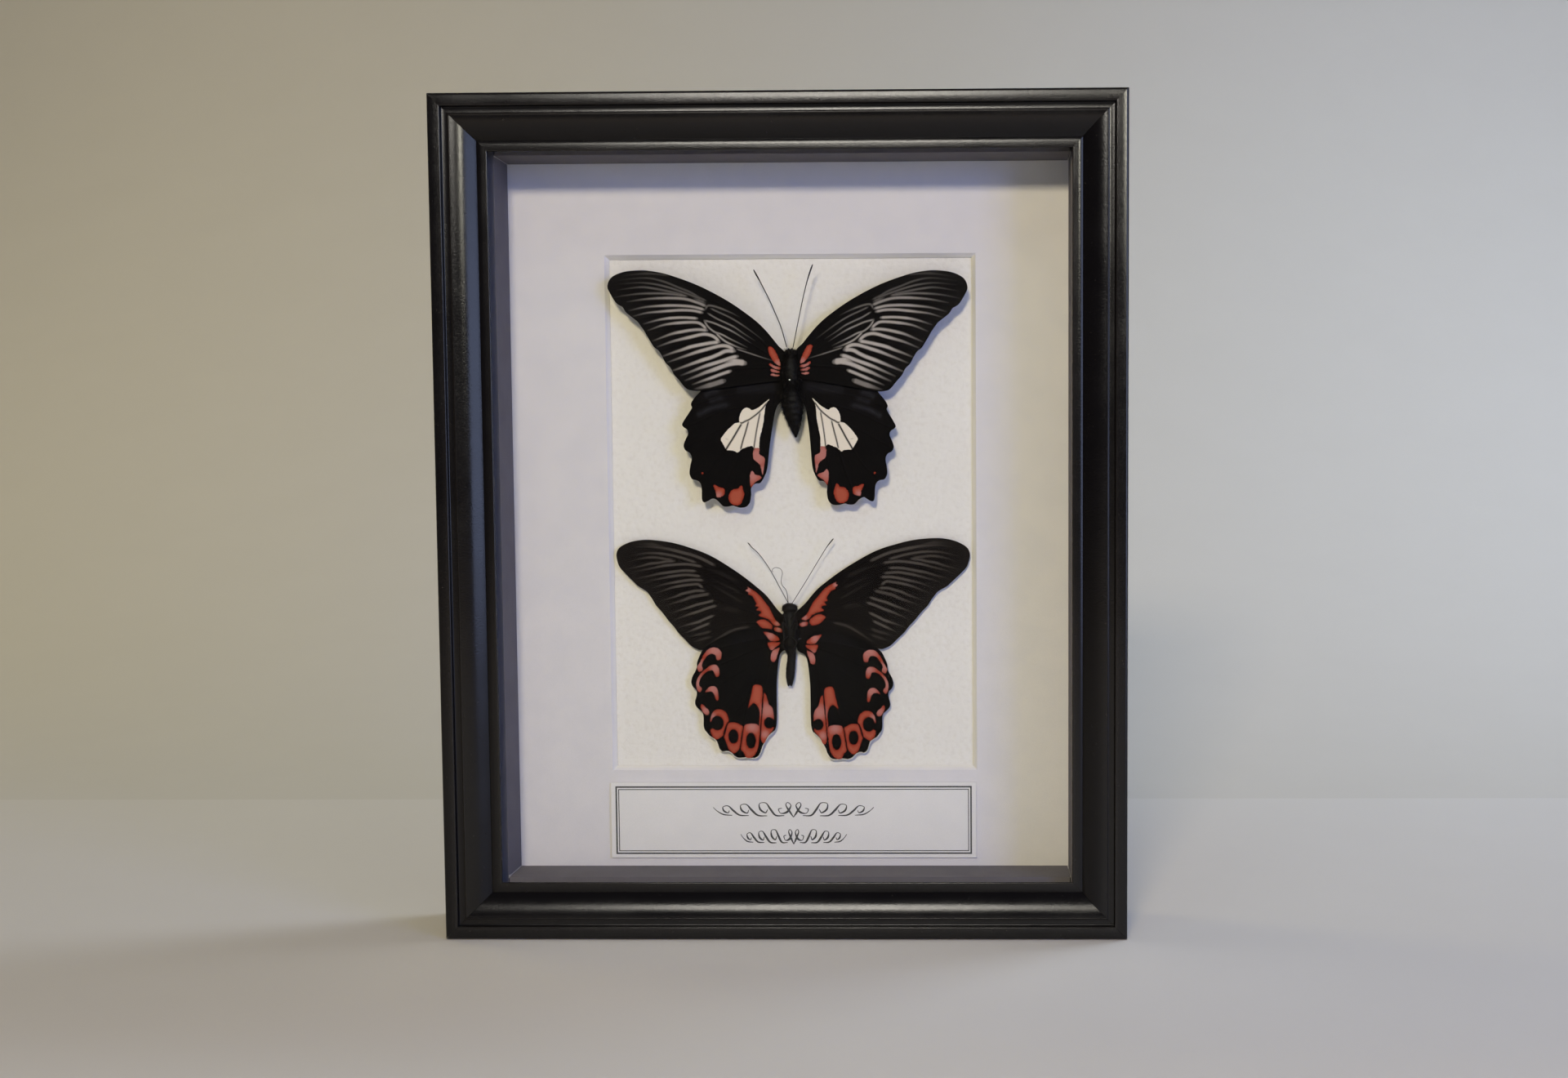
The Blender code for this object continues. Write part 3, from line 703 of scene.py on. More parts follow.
@dataclass
class Moulding:
    """Four mitred rails of one moulding. Insets run inwards from the outer edge."""

    outer_flat: float = 4.2
    step_width: float = 2.2
    groove_depth: float = 0.45
    step_drop: float = 1.5
    edge_round: float = 0.9
    arris_round: float = 0.40
    swell_end: float = 14.6
    lip_depth: float = 5.2
    lip_inset: float = 18.05
    lip_thickness: float = 5.0
    rabbet_inset: float = 11.65
    swell_start_slope: float = 3.0
    swell_end_slope: float = 47.0
    lip_undercut: float = 1.4
    mitre_gap: float = 0.06

    def profile(self) -> list[Pair]:
        """The cross-section as (inset, depth) from the outer front edge inwards, closed."""
        quarter = math.pi / 2

        def arc(centre: Pair, radius: float, start: float, end: float, steps: int) -> list[Pair]:
            """Points along an arc."""
            turns = [start + (end - start) * step / steps for step in range(steps + 1)]
            return [(centre[0] + radius * math.cos(turn), centre[1] + radius * math.sin(turn))
                    for turn in turns]

        def run(start: Pair, end: Pair, pitch: float) -> list[Pair]:
            """Points along a straight stretch, both ends left out."""
            count = max(int(math.dist(start, end) / pitch), 1)
            return [(start[0] + (end[0] - start[0]) * step / count,
                     start[1] + (end[1] - start[1]) * step / count)
                    for step in range(1, count)]

        edge, small = self.edge_round, self.arris_round
        foot = (self.outer_flat + self.step_width, self.step_drop)
        first, last = math.radians(self.swell_start_slope), math.radians(self.swell_end_slope)
        radius = (self.swell_end - foot[0]) / (math.sin(last) - math.sin(first))
        centre = (foot[0] - radius * math.sin(first), foot[1] + radius * math.cos(first))
        swell = arc(centre, radius, first - quarter, last - quarter, 24)[1:]
        groove = self.step_drop + self.groove_depth
        lip_back = self.lip_depth + self.lip_thickness
        stretches = [
            arc((edge, edge), edge, 2 * quarter, 3 * quarter, 6),
            arc((self.outer_flat - small, small), small, -quarter, 0.0, 4),
            [(self.outer_flat, groove - small)],
            arc((self.outer_flat + small, groove - small), small, 2 * quarter, quarter, 4),
            [(foot[0] - small - 0.1, groove), (foot[0] - 0.1, groove - 0.1)],
            arc((foot[0] + 0.8 * small, self.step_drop + 0.8 * small), 0.8 * small,
                2 * quarter, 3 * quarter, 5),
            swell,
            [(self.swell_end + 0.15, self.lip_depth + 0.05)],
            arc((self.lip_inset - edge / 2, self.lip_depth + edge / 2), edge / 2,
                -quarter, 0.0, 5),
            [(self.lip_inset - self.lip_undercut, lip_back), (self.rabbet_inset, lip_back)],
            [(self.rabbet_inset, FRAME_DEPTH)],
            arc((small, FRAME_DEPTH - small), small, quarter, 2 * quarter, 3),
        ]
        points: list[Pair] = []
        for stretch in stretches:
            if points:
                points += run(points[-1], stretch[0], 1.0)
            points += stretch
        return points + run(points[-1], points[0], 3.0) + [points[0]]

    def rail(self, name: str, length: float, along: Vector, inwards: Vector) -> Piece:
        """One rail: a strip drawn through the profile edge by edge, its ends cut to 45 degrees.

        Args:
            name: The rail's name.
            length: The frame's outside length on that side.
            along: Direction of its length.
            inwards: Direction from its outer edge to the middle of the frame.

        Returns:
            The rail, without its finish.
        """
        reach = FRAME_WIDTH / 2 if abs(inwards.x) > 0.5 else FRAME_HEIGHT / 2
        outer = front(0.0, 0.0, 0.0) - inwards * reach * MM
        points = [outer + inwards * inset * MM + Vector((0.0, depth * MM, 0.0))
                  for inset, depth in self.profile()]
        half = along * (length / 2 + 1.0) * MM
        bpy.ops.mesh.primitive_plane_add(size=1.0, location=(0.0, 0.0, 0.0))
        rail = Bench.named(name)
        corners = [points[0] - half, points[0] + half, points[1] - half, points[1] + half]
        Bench.move_points(rail, np.array([list(corner) for corner in corners]))
        with Bench.editing(rail, Part.EDGES):
            Bench.pick(rail, Part.EDGES, lambda middle, _: (middle - points[1]).length < 1e-6)
            for start, end in zip(points[1:], points[2:]):
                bpy.ops.mesh.extrude_edges_move(TRANSFORM_OT_translate={"value": end - start})
            bpy.ops.mesh.select_all(action="SELECT")
            bpy.ops.mesh.remove_doubles(threshold=0.001 * MM)
            for side in (-1.0, 1.0):
                bpy.ops.mesh.select_all(action="SELECT")
                corner = outer + along * side * (length / 2 - self.mitre_gap) * MM
                bpy.ops.mesh.bisect(plane_co=corner, plane_no=along * side + inwards,
                                    use_fill=True, clear_outer=True)
        Bench.tidy(rail)
        Bench.smooth(rail, 32.0)
        places = Bench.points(rail)
        outer_row = np.array(outer)
        inset = (places - outer_row) @ np.array(inwards) / MM
        depth = (places - outer_row)[:, 1] / MM
        arrises = ((0.3, 0.3), (self.outer_flat - 0.1, 0.1),
                   (self.outer_flat + self.step_width + 0.05, self.step_drop + 0.05),
                   (self.lip_inset - 0.15, self.lip_depth + 0.15), (0.1, FRAME_DEPTH - 0.1))
        near = np.min([np.hypot(inset - x, depth - y) for x, y in arrises], axis=0)
        Bench.note(rail, "arris", np.clip(1.2 - near / 0.6, 0.0, 1.0))
        return rail

    def build(self) -> None:
        """Make the four rails and dress them."""
        right, up = Vector((1.0, 0.0, 0.0)), Vector((0.0, 0.0, 1.0))
        lying, standing = BlackPaint(Grain.ALONG_X).make(), BlackPaint(Grain.ALONG_Z).make()
        for side, length, along, inwards, paint in (
                ("top", FRAME_WIDTH, right, -up, lying),
                ("bottom", FRAME_WIDTH, right, up, lying),
                ("left", FRAME_HEIGHT, up, right, standing),
                ("right", FRAME_HEIGHT, up, -right, standing)):
            rail = self.rail("rail_" + side, length, along, inwards)
            Bench.hand_over(rail, paint, "black_wood", "frame_rail_" + side)


@dataclass
class Papers:
    """The mat with its bevelled window, the pressed paper behind it and the label card."""

    sheet_width: float = 203.4
    sheet_height: float = 254.4
    mat_depth: float = 30.2
    mat_thickness: float = 1.4
    window_width: float = 127.0
    window_height: float = 177.8
    window_right: float = 0.5
    window_up: float = 1.4
    card_depth: float = 31.9
    card_thickness: float = 1.7
    relief_pitch: float = 0.6
    relief_height: float = 0.17
    label_middle: Pair = (0.0, -104.95)
    label_front: float = 29.5
    label_size: Pair = (127.3, 26.5)

    def mat(self) -> Piece:
        """The mat: a sheet with its window cut out and the cut drawn back at 45 degrees."""
        middle = front(0.0, 0.0, self.mat_depth)
        bpy.ops.mesh.primitive_plane_add(size=1.0, location=middle,
                                         rotation=(math.pi / 2, 0.0, 0.0))
        mat = Bench.named("mat")
        mat.scale = (self.sheet_width * MM, self.sheet_height * MM, 1.0)
        Bench.settle(mat)
        window = front(self.window_right, self.window_up, self.mat_depth)
        half = Vector((self.window_width / 2 * MM, 0.0, self.window_height / 2 * MM))

        def in_window(place: Vector) -> bool:
            """Whether a place lies inside the window."""
            gap = place - window
            return abs(gap.x) < half.x + 1e-5 and abs(gap.z) < half.z + 1e-5

        with Bench.editing(mat):
            for plane, normal in ((window - half, (1, 0, 0)), (window + half, (1, 0, 0)),
                                  (window - half, (0, 0, 1)), (window + half, (0, 0, 1))):
                bpy.ops.mesh.select_all(action="SELECT")
                bpy.ops.mesh.bisect(plane_co=plane, plane_no=normal)
            Bench.pick(mat, Part.FACES, lambda place, _: in_window(place))
            bpy.ops.mesh.delete(type="FACE")
            bpy.ops.mesh.select_mode(type="EDGE")
            Bench.pick(mat, Part.EDGES, lambda place, _: in_window(place))
            stretch = [(size - 2 * self.mat_thickness) / size
                       for size in (self.window_width, self.window_height)]
            bpy.ops.mesh.extrude_edges_move(
                TRANSFORM_OT_translate={"value": (0.0, self.mat_thickness * MM, 0.0)})
            bpy.ops.transform.resize(value=(stretch[0], 1.0, stretch[1]),
                                     center_override=window)
            rim = Vector((self.sheet_width / 2 * MM, 0.0, self.sheet_height / 2 * MM))
            Bench.pick(mat, Part.EDGES, lambda place, _:
                       abs(abs(place.x - middle.x) - rim.x) < 1e-6
                       or abs(abs(place.z - middle.z) - rim.z) < 1e-6)
            bpy.ops.mesh.extrude_edges_move(
                TRANSFORM_OT_translate={"value": (0.0, self.mat_thickness * MM, 0.0)})
            Bench.pick(mat, Part.EDGES, lambda place, _:
                       place.y > middle.y + (self.mat_thickness - 0.01) * MM)
            bpy.ops.mesh.bridge_edge_loops()
        Bench.tidy(mat)
        places = Bench.points(mat)
        gap = np.abs(places - np.array(window))
        on_bevel = ((gap[:, 0] < half.x + 1e-5) & (gap[:, 2] < half.z + 1e-5)
                    & (places[:, 1] > middle.y + 1e-5))
        Bench.note(mat, "cut", on_bevel.astype(float))
        return mat

    def pressed_paper(self) -> Piece:
        """The paper the specimens lie on, its pressed relief raised in the mesh."""
        middle = front(self.window_right, self.window_up, self.card_depth)
        width, height = self.window_width + 2.0, self.window_height + 2.0
        bpy.ops.mesh.primitive_grid_add(
            x_subdivisions=int(width / self.relief_pitch),
            y_subdivisions=int(height / self.relief_pitch), size=1.0, location=middle,
            rotation=(math.pi / 2, 0.0, 0.0))
        paper = Bench.named("pressed_paper")
        paper.scale = (width * MM, height * MM, 1.0)
        Bench.settle(paper)
        for size, share in ((1.5, 0.6), (0.9, 0.4)):
            grain = bpy.data.textures.new(f"pressing_{size}", "CLOUDS")
            grain.noise_scale = size * MM
            grain.noise_depth = 1
            pressing = paper.modifiers.new("pressing", "DISPLACE")
            pressing.texture = grain
            pressing.texture_coords = "LOCAL"
            pressing.direction = "Y"
            pressing.mid_level = 0.5
            pressing.strength = self.relief_height * share * MM * 2
        Bench.settle(paper)
        whole = front(0.0, 0.0, self.card_depth)
        with Bench.editing(paper, Part.EDGES):
            bpy.ops.mesh.select_all(action="DESELECT")
            bpy.ops.mesh.select_non_manifold()
            bpy.ops.transform.resize(value=(1.0, 0.0, 1.0), center_override=whole)
            bpy.ops.mesh.extrude_edges_move(TRANSFORM_OT_translate={"value": (0.0, 0.0, 0.0)})
            bpy.ops.transform.translate(value=whole - middle)
            bpy.ops.transform.resize(value=(self.sheet_width / width, 1.0,
                                            self.sheet_height / height),
                                     center_override=whole)
            bpy.ops.mesh.extrude_edges_move(
                TRANSFORM_OT_translate={"value": (0.0, self.card_thickness * MM, 0.0)})
            bpy.ops.mesh.edge_face_add()
        Bench.tidy(paper)
        Bench.smooth(paper, 40.0)
        return paper

    def build(self) -> None:
        """Make the mat and the paper, and dress the label card."""
        mix = Recipe("mat_face", 0.85, Specular_IOR_Level=0.2)
        place = mix.place()
        fibres = mix.noise(place, 0.35, 4.0, 0.65)
        face = mix.blend(mix.steps(mix.noise(place, 11.0, 3.0), 0.3, 0.7),
                         (0.715, 0.705, 0.745), (0.75, 0.735, 0.765))
        face = mix.blend(mix.steps(fibres, 0.3, 0.5, 0.2, 0.0), face, (0.61, 0.60, 0.63))
        face = mix.blend(mix.noted("cut"), face, (0.80, 0.78, 0.74))
        mat_face = mix.done(face, None, mix.bump(fibres, 0.012))
        Bench.hand_over(self.mat(), mat_face, "mat_board", "mat_board")
        Bench.hand_over(self.pressed_paper(), PressedPaper().make(), "mount_card",
                        "mount_card")
        label_card = FacedBoard("label_card", (0.77, 0.765, 0.775), (0.82, 0.81, 0.815),
                                0.006, 0.5)
        dress(label_card.make(), "label_card")


def dress(finish: bpy.types.Material, *nodes: str) -> None:
    """Give CAD nodes a finish, in their material slots.

    Args:
        finish: The material.
        nodes: The CAD nodes' names.
    """
    for name in nodes:
        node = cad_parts[name]
        if not node.material_slots:
            node.data.materials.append(finish)
        for slot in node.material_slots:
            slot.material = finish


@dataclass
class LabelPrint:
    """The double rule and a drawn flourish where the label's words would be."""

    middle: Pair = (0.0, -104.95)
    face_depth: float = 29.5
    ink_height: float = 0.03
    outer_rule: tuple[float, float, float] = (124.2, 23.9, 0.55)
    inner_rule: tuple[float, float, float] = (122.2, 21.9, 0.30)
    rows: tuple[tuple[float, float], ...] = ((3.6, 28.0), (-5.9, 18.5))

    def rule(self, width: float, height: float, line: float) -> Piece:
        """One rectangular rule.

        Args:
            width: Outside width.
            height: Outside height.
            line: Line width.

        Returns:
            The rule as a thin raised strip.
        """
        place = front(self.middle[0], self.middle[1], self.face_depth - self.ink_height)
        bpy.ops.mesh.primitive_plane_add(size=1.0, location=place,
                                         rotation=(math.pi / 2, 0.0, 0.0))
        rule = Bench.named("rule")
        rule.scale = (width * MM, height * MM, 1.0)
        Bench.settle(rule)
        with Bench.editing(rule):
            bpy.ops.mesh.select_all(action="SELECT")
            bpy.ops.mesh.inset(thickness=line * MM)
            bpy.ops.mesh.delete(type="FACE")
            bpy.ops.mesh.select_all(action="SELECT")
            bpy.ops.mesh.extrude_region_move(TRANSFORM_OT_translate={
                "value": (0.0, (self.ink_height - 0.005) * MM, 0.0)})
        Bench.tidy(rule)
        return rule

    def flourish(self, height: float, half_width: float) -> list[Piece]:
        """A row of pen strokes: two scrolls running out from a knot, mirrored.

        Args:
            height: Middle of the row above the label's middle.
            half_width: Half of the row's length.

        Returns:
            The strokes.
        """
        depth = self.face_depth - self.ink_height / 2
        scale = half_width / 28.0
        strokes = [
            [(0.0, -2.6, 0.08), (1.3, -0.6, 0.24), (2.6, 1.6, 0.14), (2.0, 2.6, 0.08),
             (0.9, 1.5, 0.14), (2.2, -0.7, 0.26), (4.4, -1.2, 0.1), (5.2, 0.2, 0.12),
             (4.0, 0.6, 0.07)],
            [(3.2, -2.0, 0.06), (6.2, -1.9, 0.2), (8.0, 0.2, 0.25), (9.6, 2.4, 0.12),
             (11.8, 2.2, 0.1), (11.6, 0.2, 0.24), (9.8, -1.0, 0.16), (9.0, 0.2, 0.07)],
            [(9.2, -2.1, 0.06), (12.4, -1.9, 0.2), (14.6, 0.0, 0.26), (16.4, 1.9, 0.12),
             (18.4, 1.6, 0.1), (18.0, -0.2, 0.24), (16.2, -1.1, 0.14), (15.6, 0.0, 0.07)],
            [(15.6, -2.0, 0.06), (18.8, -1.8, 0.19), (21.0, -0.2, 0.24), (22.8, 1.4, 0.12),
             (24.6, 1.0, 0.1), (24.2, -0.4, 0.22), (22.8, -1.0, 0.12), (22.4, -0.2, 0.06)],
            [(21.4, -1.9, 0.05), (24.4, -1.6, 0.16), (26.6, -0.4, 0.1), (28.0, 0.9, 0.05)],
        ]
        made = []
        for side in (-1.0, 1.0):
            for stroke in strokes:
                made.append(thread("stroke", [
                    (self.middle[0] + side * x * scale, self.middle[1] + height + z, depth,
                     max(1.6 * width, 0.14)) for x, z, width in stroke], 6, 10))
        return made

    def build(self) -> None:
        """Print the label."""
        pieces = [self.rule(*self.outer_rule), self.rule(*self.inner_rule)]
        for height, half_width in self.rows:
            pieces += self.flourish(height, half_width)
        printed = Bench.joined("label_print", pieces)
        places = Bench.points(printed)
        face = front(0.0, 0.0, self.face_depth).y
        places[:, 1] = face + np.clip((places[:, 1] - face) * 0.12, -self.ink_height * MM,
                                      -0.002 * MM)
        Bench.move_points(printed, places)
        Bench.hand_over(printed, PrinterInk().make(), "label_paper")


@dataclass
class CaseInside:
    """The glass, the grey spacers behind it and the back of the frame."""

    spacer_front: float = 12.8
    spacer_back: float = 29.9
    corner: Pair = (95.6, 121.1)

    def corner_strips(self) -> None:
        """Thin pale strips down the corners where two spacers meet."""
        # A pale board finish on thin strips down each corner joint.
        pale_strip_finish = FacedBoard("pale_corner_board", (0.30, 0.29, 0.28), (0.42, 0.40, 0.38)).make()
        strips = []
        for side, up, size in ((-1, -1, 0.34), (1, -1, 0.2), (-1, 1, 0.2), (1, 1, 0.16)):
            stations = [(side * self.corner[0], up * self.corner[1], self.spacer_front + 0.1,
                         size * 1.5),
                        (side * self.corner[0], up * self.corner[1], self.spacer_front + 3.0,
                         size * 0.7),
                        (side * self.corner[0], up * self.corner[1], self.spacer_back - 0.1,
                         size * 0.6)]
            strips.append(thread("strip", stations, 8))
        Bench.hand_over(Bench.joined("spacer_corner_strips", strips), pale_strip_finish, "grey_board")

    def build(self) -> None:
        """Dress what stays as it is in the CAD model."""
        dress(ClearGlass().make(), "glass_pane")
        dress(FacedBoard("grey_board", (0.128, 0.118, 0.132), (0.156, 0.145, 0.160)).make(),
              "spacer_top", "spacer_bottom", "spacer_left", "spacer_right")
        self.corner_strips()
        dress(Hardboard().make(), "back_panel")
        steel = PlatedSteel().make()
        points = [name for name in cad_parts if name.startswith(("tab_", "hanger_"))]
        dress(steel, "upper_pin", *points)


# ---------------------------------------------------------------------------------------------
# Wings
# ---------------------------------------------------------------------------------------------

Line = Sequence[Pair]


@dataclass(frozen=True)
class Streak:
    """A streak on a wing: the points it runs through, its width and how strong it is."""

    points: Line
    width: float = 1.0
    strength: float = 1.0


@dataclass(frozen=True)
class WingShape:
    """One kind of wing: outline, marks and the places where it is set into the frame.

    Each seat is (side, root x, root z, turn in degrees, stretch outwards, stretch upwards).
    """

    name: str
    depth: float
    scales: WingScales
    outline: Line
    seats: tuple[tuple[int, float, float, float, float, float], ...]
    fan_centre: Pair
    rays: Sequence[Streak] = ()
    veins: Sequence[Streak] = ()
    ribs: Sequence[Streak] = ()
    sheens: Sequence[Streak] = ()
    whites: Sequence[Line] = ()
    reds: Sequence[Line] = ()
    eyes: Sequence[tuple[float, float, float, float]] = ()
    pinks: Sequence[tuple[float, float, float]] = ()
    margin_dust: float = 0.0
    fringe: float = 0.0


def loop_distance(places: np.ndarray, loop: np.ndarray, reach: float) -> np.ndarray:
    """Distance inside a closed loop, negative outside.

    Args:
        places: Points as rows of (outwards, upwards).
        loop: The loop's corners.
        reach: Distance outside which points just get -reach.

    Returns:
        One distance per point, in millimetres.
    """
    result = np.full(len(places), -reach)
    near = np.all((places > loop.min(0) - reach) & (places < loop.max(0) + reach), axis=1)
    rows = places[near]
    best = np.full(len(rows), np.inf)
    inside = np.zeros(len(rows), dtype=bool)
    for start, end in zip(loop, np.roll(loop, -1, axis=0)):
        edge = end - start
        share = np.clip((rows - start) @ edge / max(edge @ edge, 1e-12), 0.0, 1.0)
        gap = rows - start - share[:, None] * edge
        best = np.minimum(best, np.einsum("ij,ij->i", gap, gap))
        if start[1] != end[1]:
            crosses = (start[1] > rows[:, 1]) != (end[1] > rows[:, 1])
            inside ^= crosses & (rows[:, 0] < start[0] + edge[0] * (rows[:, 1] - start[1])
                                 / edge[1])
    result[near] = np.where(inside, 1.0, -1.0) * np.sqrt(best)
    return result


def nearest_on_loop(places: np.ndarray, loop: np.ndarray) -> np.ndarray:
    """The nearest point of a closed loop for each place."""
    best = np.full(len(places), np.inf)
    result = places.copy()
    for start, end in zip(loop, np.roll(loop, -1, axis=0)):
        edge = end - start
        share = np.clip((places - start) @ edge / max(edge @ edge, 1e-12), 0.0, 1.0)
        foot = start + share[:, None] * edge
        gap = np.einsum("ij,ij->i", places - foot, places - foot)
        closer = gap < best
        best[closer] = gap[closer]
        result[closer] = foot[closer]
    return result


def streak_strength(places: np.ndarray, streak: Streak, softness: float,
                    fade: float = 0.0) -> np.ndarray:
    """How strongly each place is covered by a streak, from 0 to 1, fading at its ends.

    Args:
        places: Points as rows of (outwards, upwards).
        streak: The streak, from its inner end outwards.
        softness: Width of its soft edge.
        fade: Share of its length over which it thins and fades at the outer end.

    Returns:
        One number per point.
    """
    line = smooth_line(np.array(streak.points), 4, closed=False)
    margin = streak.width / 2 + softness
    result = np.zeros(len(places))
    near = np.all((places > line.min(0) - margin) & (places < line.max(0) + margin), axis=1)
    rows = places[near]
    best = np.full(len(rows), np.inf)
    run = np.zeros(len(rows))
    lengths = np.hypot(*np.diff(line, axis=0).T)
    travelled = 0.0
    for start, end, length in zip(line, line[1:], lengths):
        edge = end - start
        share = np.clip((rows - start) @ edge / max(edge @ edge, 1e-12), 0.0, 1.0)
        gap = np.hypot(*(rows - start - share[:, None] * edge).T)
        closer = gap < best
        best[closer] = gap[closer]
        run[closer] = travelled + share[closer] * length
        travelled += length
    inner = np.clip(run / 1.2 + 0.35, 0.0, 1.0)
    outer = np.clip((travelled - run) / max(fade * travelled, 0.8), 0.0, 1.0)
    thinned = (0.6 + 0.4 * inner) * (0.3 + 0.7 * outer)
    edge_share = np.clip((streak.width / 2 * thinned + softness / 2 - best) / softness,
                         0.0, 1.0)
    result[near] = (edge_share ** 2 * (3 - 2 * edge_share)) * streak.strength \
        * inner * (0.1 + 0.9 * outer)
    return result


@dataclass
class WingMaker:
    """Makes each wing once on a fine grid, trims it to its outline and sets it left and right."""

    pitch: float = 0.22
    membrane: float = 0.14
    rib_height: float = 0.10
    ripple: float = 0.10

    def blank(self, shape: WingShape) -> tuple[Piece, np.ndarray]:
        """The trimmed flat wing, its X outwards and its Z upwards from the root.

        Args:
            shape: The kind of wing.

        Returns:
            The wing and its smooth outline.
        """
        outline = smooth_line(np.array(shape.outline), 6, closed=True)
        low, high = outline.min(0) - self.pitch, outline.max(0) + self.pitch
        middle, size = (low + high) / 2, high - low
        bpy.ops.mesh.primitive_grid_add(
            x_subdivisions=int(size[0] / self.pitch), y_subdivisions=int(size[1] / self.pitch),
            size=1.0, location=(middle[0] * MM, 0.0, middle[1] * MM),
            rotation=(math.pi / 2, 0.0, 0.0))
        wing = Bench.named(shape.name)
        wing.scale = (size[0] * MM, size[1] * MM, 1.0)
        Bench.settle(wing)
        faces = np.empty(len(wing.data.polygons) * 3)
        wing.data.polygons.foreach_get("center", faces)
        outside = loop_distance(faces.reshape(-1, 3)[:, (0, 2)] / MM, outline, 1.0) < 0.02
        for part in (wing.data.vertices, wing.data.edges, wing.data.polygons):
            part.foreach_set("select", np.zeros(len(part), dtype=bool))
        wing.data.polygons.foreach_set("select", outside)
        Bench.take(wing)
        bpy.ops.object.mode_set(mode="EDIT")
        bpy.ops.mesh.select_mode(type="FACE")
        bpy.ops.mesh.delete(type="FACE")
        bpy.ops.mesh.select_mode(type="VERT")
        bpy.ops.mesh.select_all(action="DESELECT")
        bpy.ops.mesh.select_non_manifold()
        bpy.ops.object.mode_set(mode="OBJECT")
        rim = np.empty(len(wing.data.vertices), dtype=bool)
        wing.data.vertices.foreach_get("select", rim)
        places = Bench.points(wing)
        flat = places[:, (0, 2)] / MM
        flat[rim] = nearest_on_loop(flat[rim], outline)
        places[:, 0], places[:, 2] = flat[:, 0] * MM, flat[:, 1] * MM
        Bench.move_points(wing, places)
        return wing, outline

    def mark(self, wing: Piece, shape: WingShape, outline: np.ndarray) -> None:
        """Raise the ribs, give the wing its thickness and note its marks.

        Args:
            wing: The flat wing.
            shape: The kind of wing.
            outline: The smooth outline.
        """
        places = Bench.points(wing)
        flat = places[:, (0, 2)] / MM
        raised = np.zeros(len(flat))
        for rib in list(shape.ribs) + list(shape.veins):
            raised = np.maximum(raised, streak_strength(flat, Streak(rib.points, 0.35), 0.5))
        waves = (np.sin(flat[:, 0] * 0.31 + flat[:, 1] * 0.22)
                 + np.sin(flat[:, 1] * 0.47 - flat[:, 0] * 0.12))
        places[:, 1] = -(raised * self.rib_height + waves / 2 * self.ripple) * MM
        Bench.move_points(wing, places)
        skin = wing.modifiers.new("skin", "SOLIDIFY")
        skin.thickness = self.membrane * MM
        skin.offset = 0.0
        Bench.settle(wing)
        Bench.tidy(wing)
        flat = Bench.points(wing)[:, (0, 2)] / MM
        self.note_marks(wing, shape, flat, outline)
        Bench.smooth(wing, 50.0)

    def note_marks(self, wing: Piece, shape: WingShape, flat: np.ndarray,
                   outline: np.ndarray) -> None:
        """Keep the marks with the mesh, one number per point and kind of mark."""

        def strongest(streaks: Sequence[Streak], softness: float,
                      fade: float = 0.0) -> np.ndarray:
            """The strongest streak at each point."""
            result = np.zeros(len(flat))
            for streak in streaks:
                result = np.maximum(result, streak_strength(flat, streak, softness, fade))
            return result

        def deepest(loops: Sequence[Line]) -> np.ndarray:
            """The greatest distance inside any of the loops."""
            result = np.full(len(flat), -2.0)
            for loop in loops:
                rounded = smooth_line(np.array(loop), 4, closed=True)
                result = np.maximum(result, loop_distance(flat, rounded, 2.0))
            return result

        red = deepest(shape.reds)
        for x, z, half_width, half_height in shape.eyes:
            away = np.hypot((flat[:, 0] - x) / half_width, (flat[:, 1] - z) / half_height)
            red = np.minimum(red, (away - 1.0) * min(half_width, half_height))
        pink = np.zeros(len(flat))
        for x, z, radius in shape.pinks:
            away = np.hypot(flat[:, 0] - x, flat[:, 1] - z)
            pink = np.maximum(pink, np.clip(1.3 - away / radius, 0.0, 1.0))
        margin = loop_distance(flat, outline, 3.0)
        angle = np.arctan2(flat[:, 1] - shape.fan_centre[1], flat[:, 0] - shape.fan_centre[0])
        reach = np.hypot(flat[:, 1] - shape.fan_centre[1], flat[:, 0] - shape.fan_centre[0])
        marks = {
            "ray": strongest(shape.rays, 0.5, 0.5),
            "vein": strongest(shape.veins, 0.35),
            "sheen": strongest(shape.sheens, 2.4),
            "white": np.maximum(deepest(shape.whites),
                                np.where(flat[:, 1] < -29.5, shape.fringe - margin, -2.0)),
            "red": red,
            "pink": pink,
            "dust": shape.margin_dust * np.clip((flat[:, 0] - 25) / 20, 0, 1)
            * np.clip(1 - margin / 9.0, 0.0, 1.0),
            "fan": angle * 90.0,
            "reach": reach * 0.35,
        }
        for name, values in marks.items():
            Bench.note(wing, name, values)

    def build(self, shape: WingShape) -> None:
        """Make one kind of wing and set it left and right.

        Args:
            shape: The kind of wing.
        """
        pattern, outline = self.blank(shape)
        self.mark(pattern, shape, outline)
        finish = shape.scales.make()
        flat = Bench.points(pattern) / MM
        for side, root_x, root_z, turn, stretch_out, stretch_up in shape.seats:
            Bench.take(pattern)
            bpy.ops.object.duplicate()
            name = f"{shape.name}_{'left' if side < 0 else 'right'}"
            wing = Bench.named(name + "_scaled")
            cosine, sine = math.cos(math.radians(turn)), math.sin(math.radians(turn))
            out, up = flat[:, 0] * stretch_out, flat[:, 2] * stretch_up
            Bench.move_points(wing, sheet_points(root_x + side * (out * cosine - up * sine),
                                                 root_z + out * sine + up * cosine,
                                                 shape.depth + flat[:, 1]))
            if side < 0:
                with Bench.editing(wing):
                    bpy.ops.mesh.select_all(action="SELECT")
                    bpy.ops.mesh.flip_normals()
            Bench.hand_over(wing, finish, "wing", name)
        bpy.data.objects.remove(pattern, do_unlink=True)


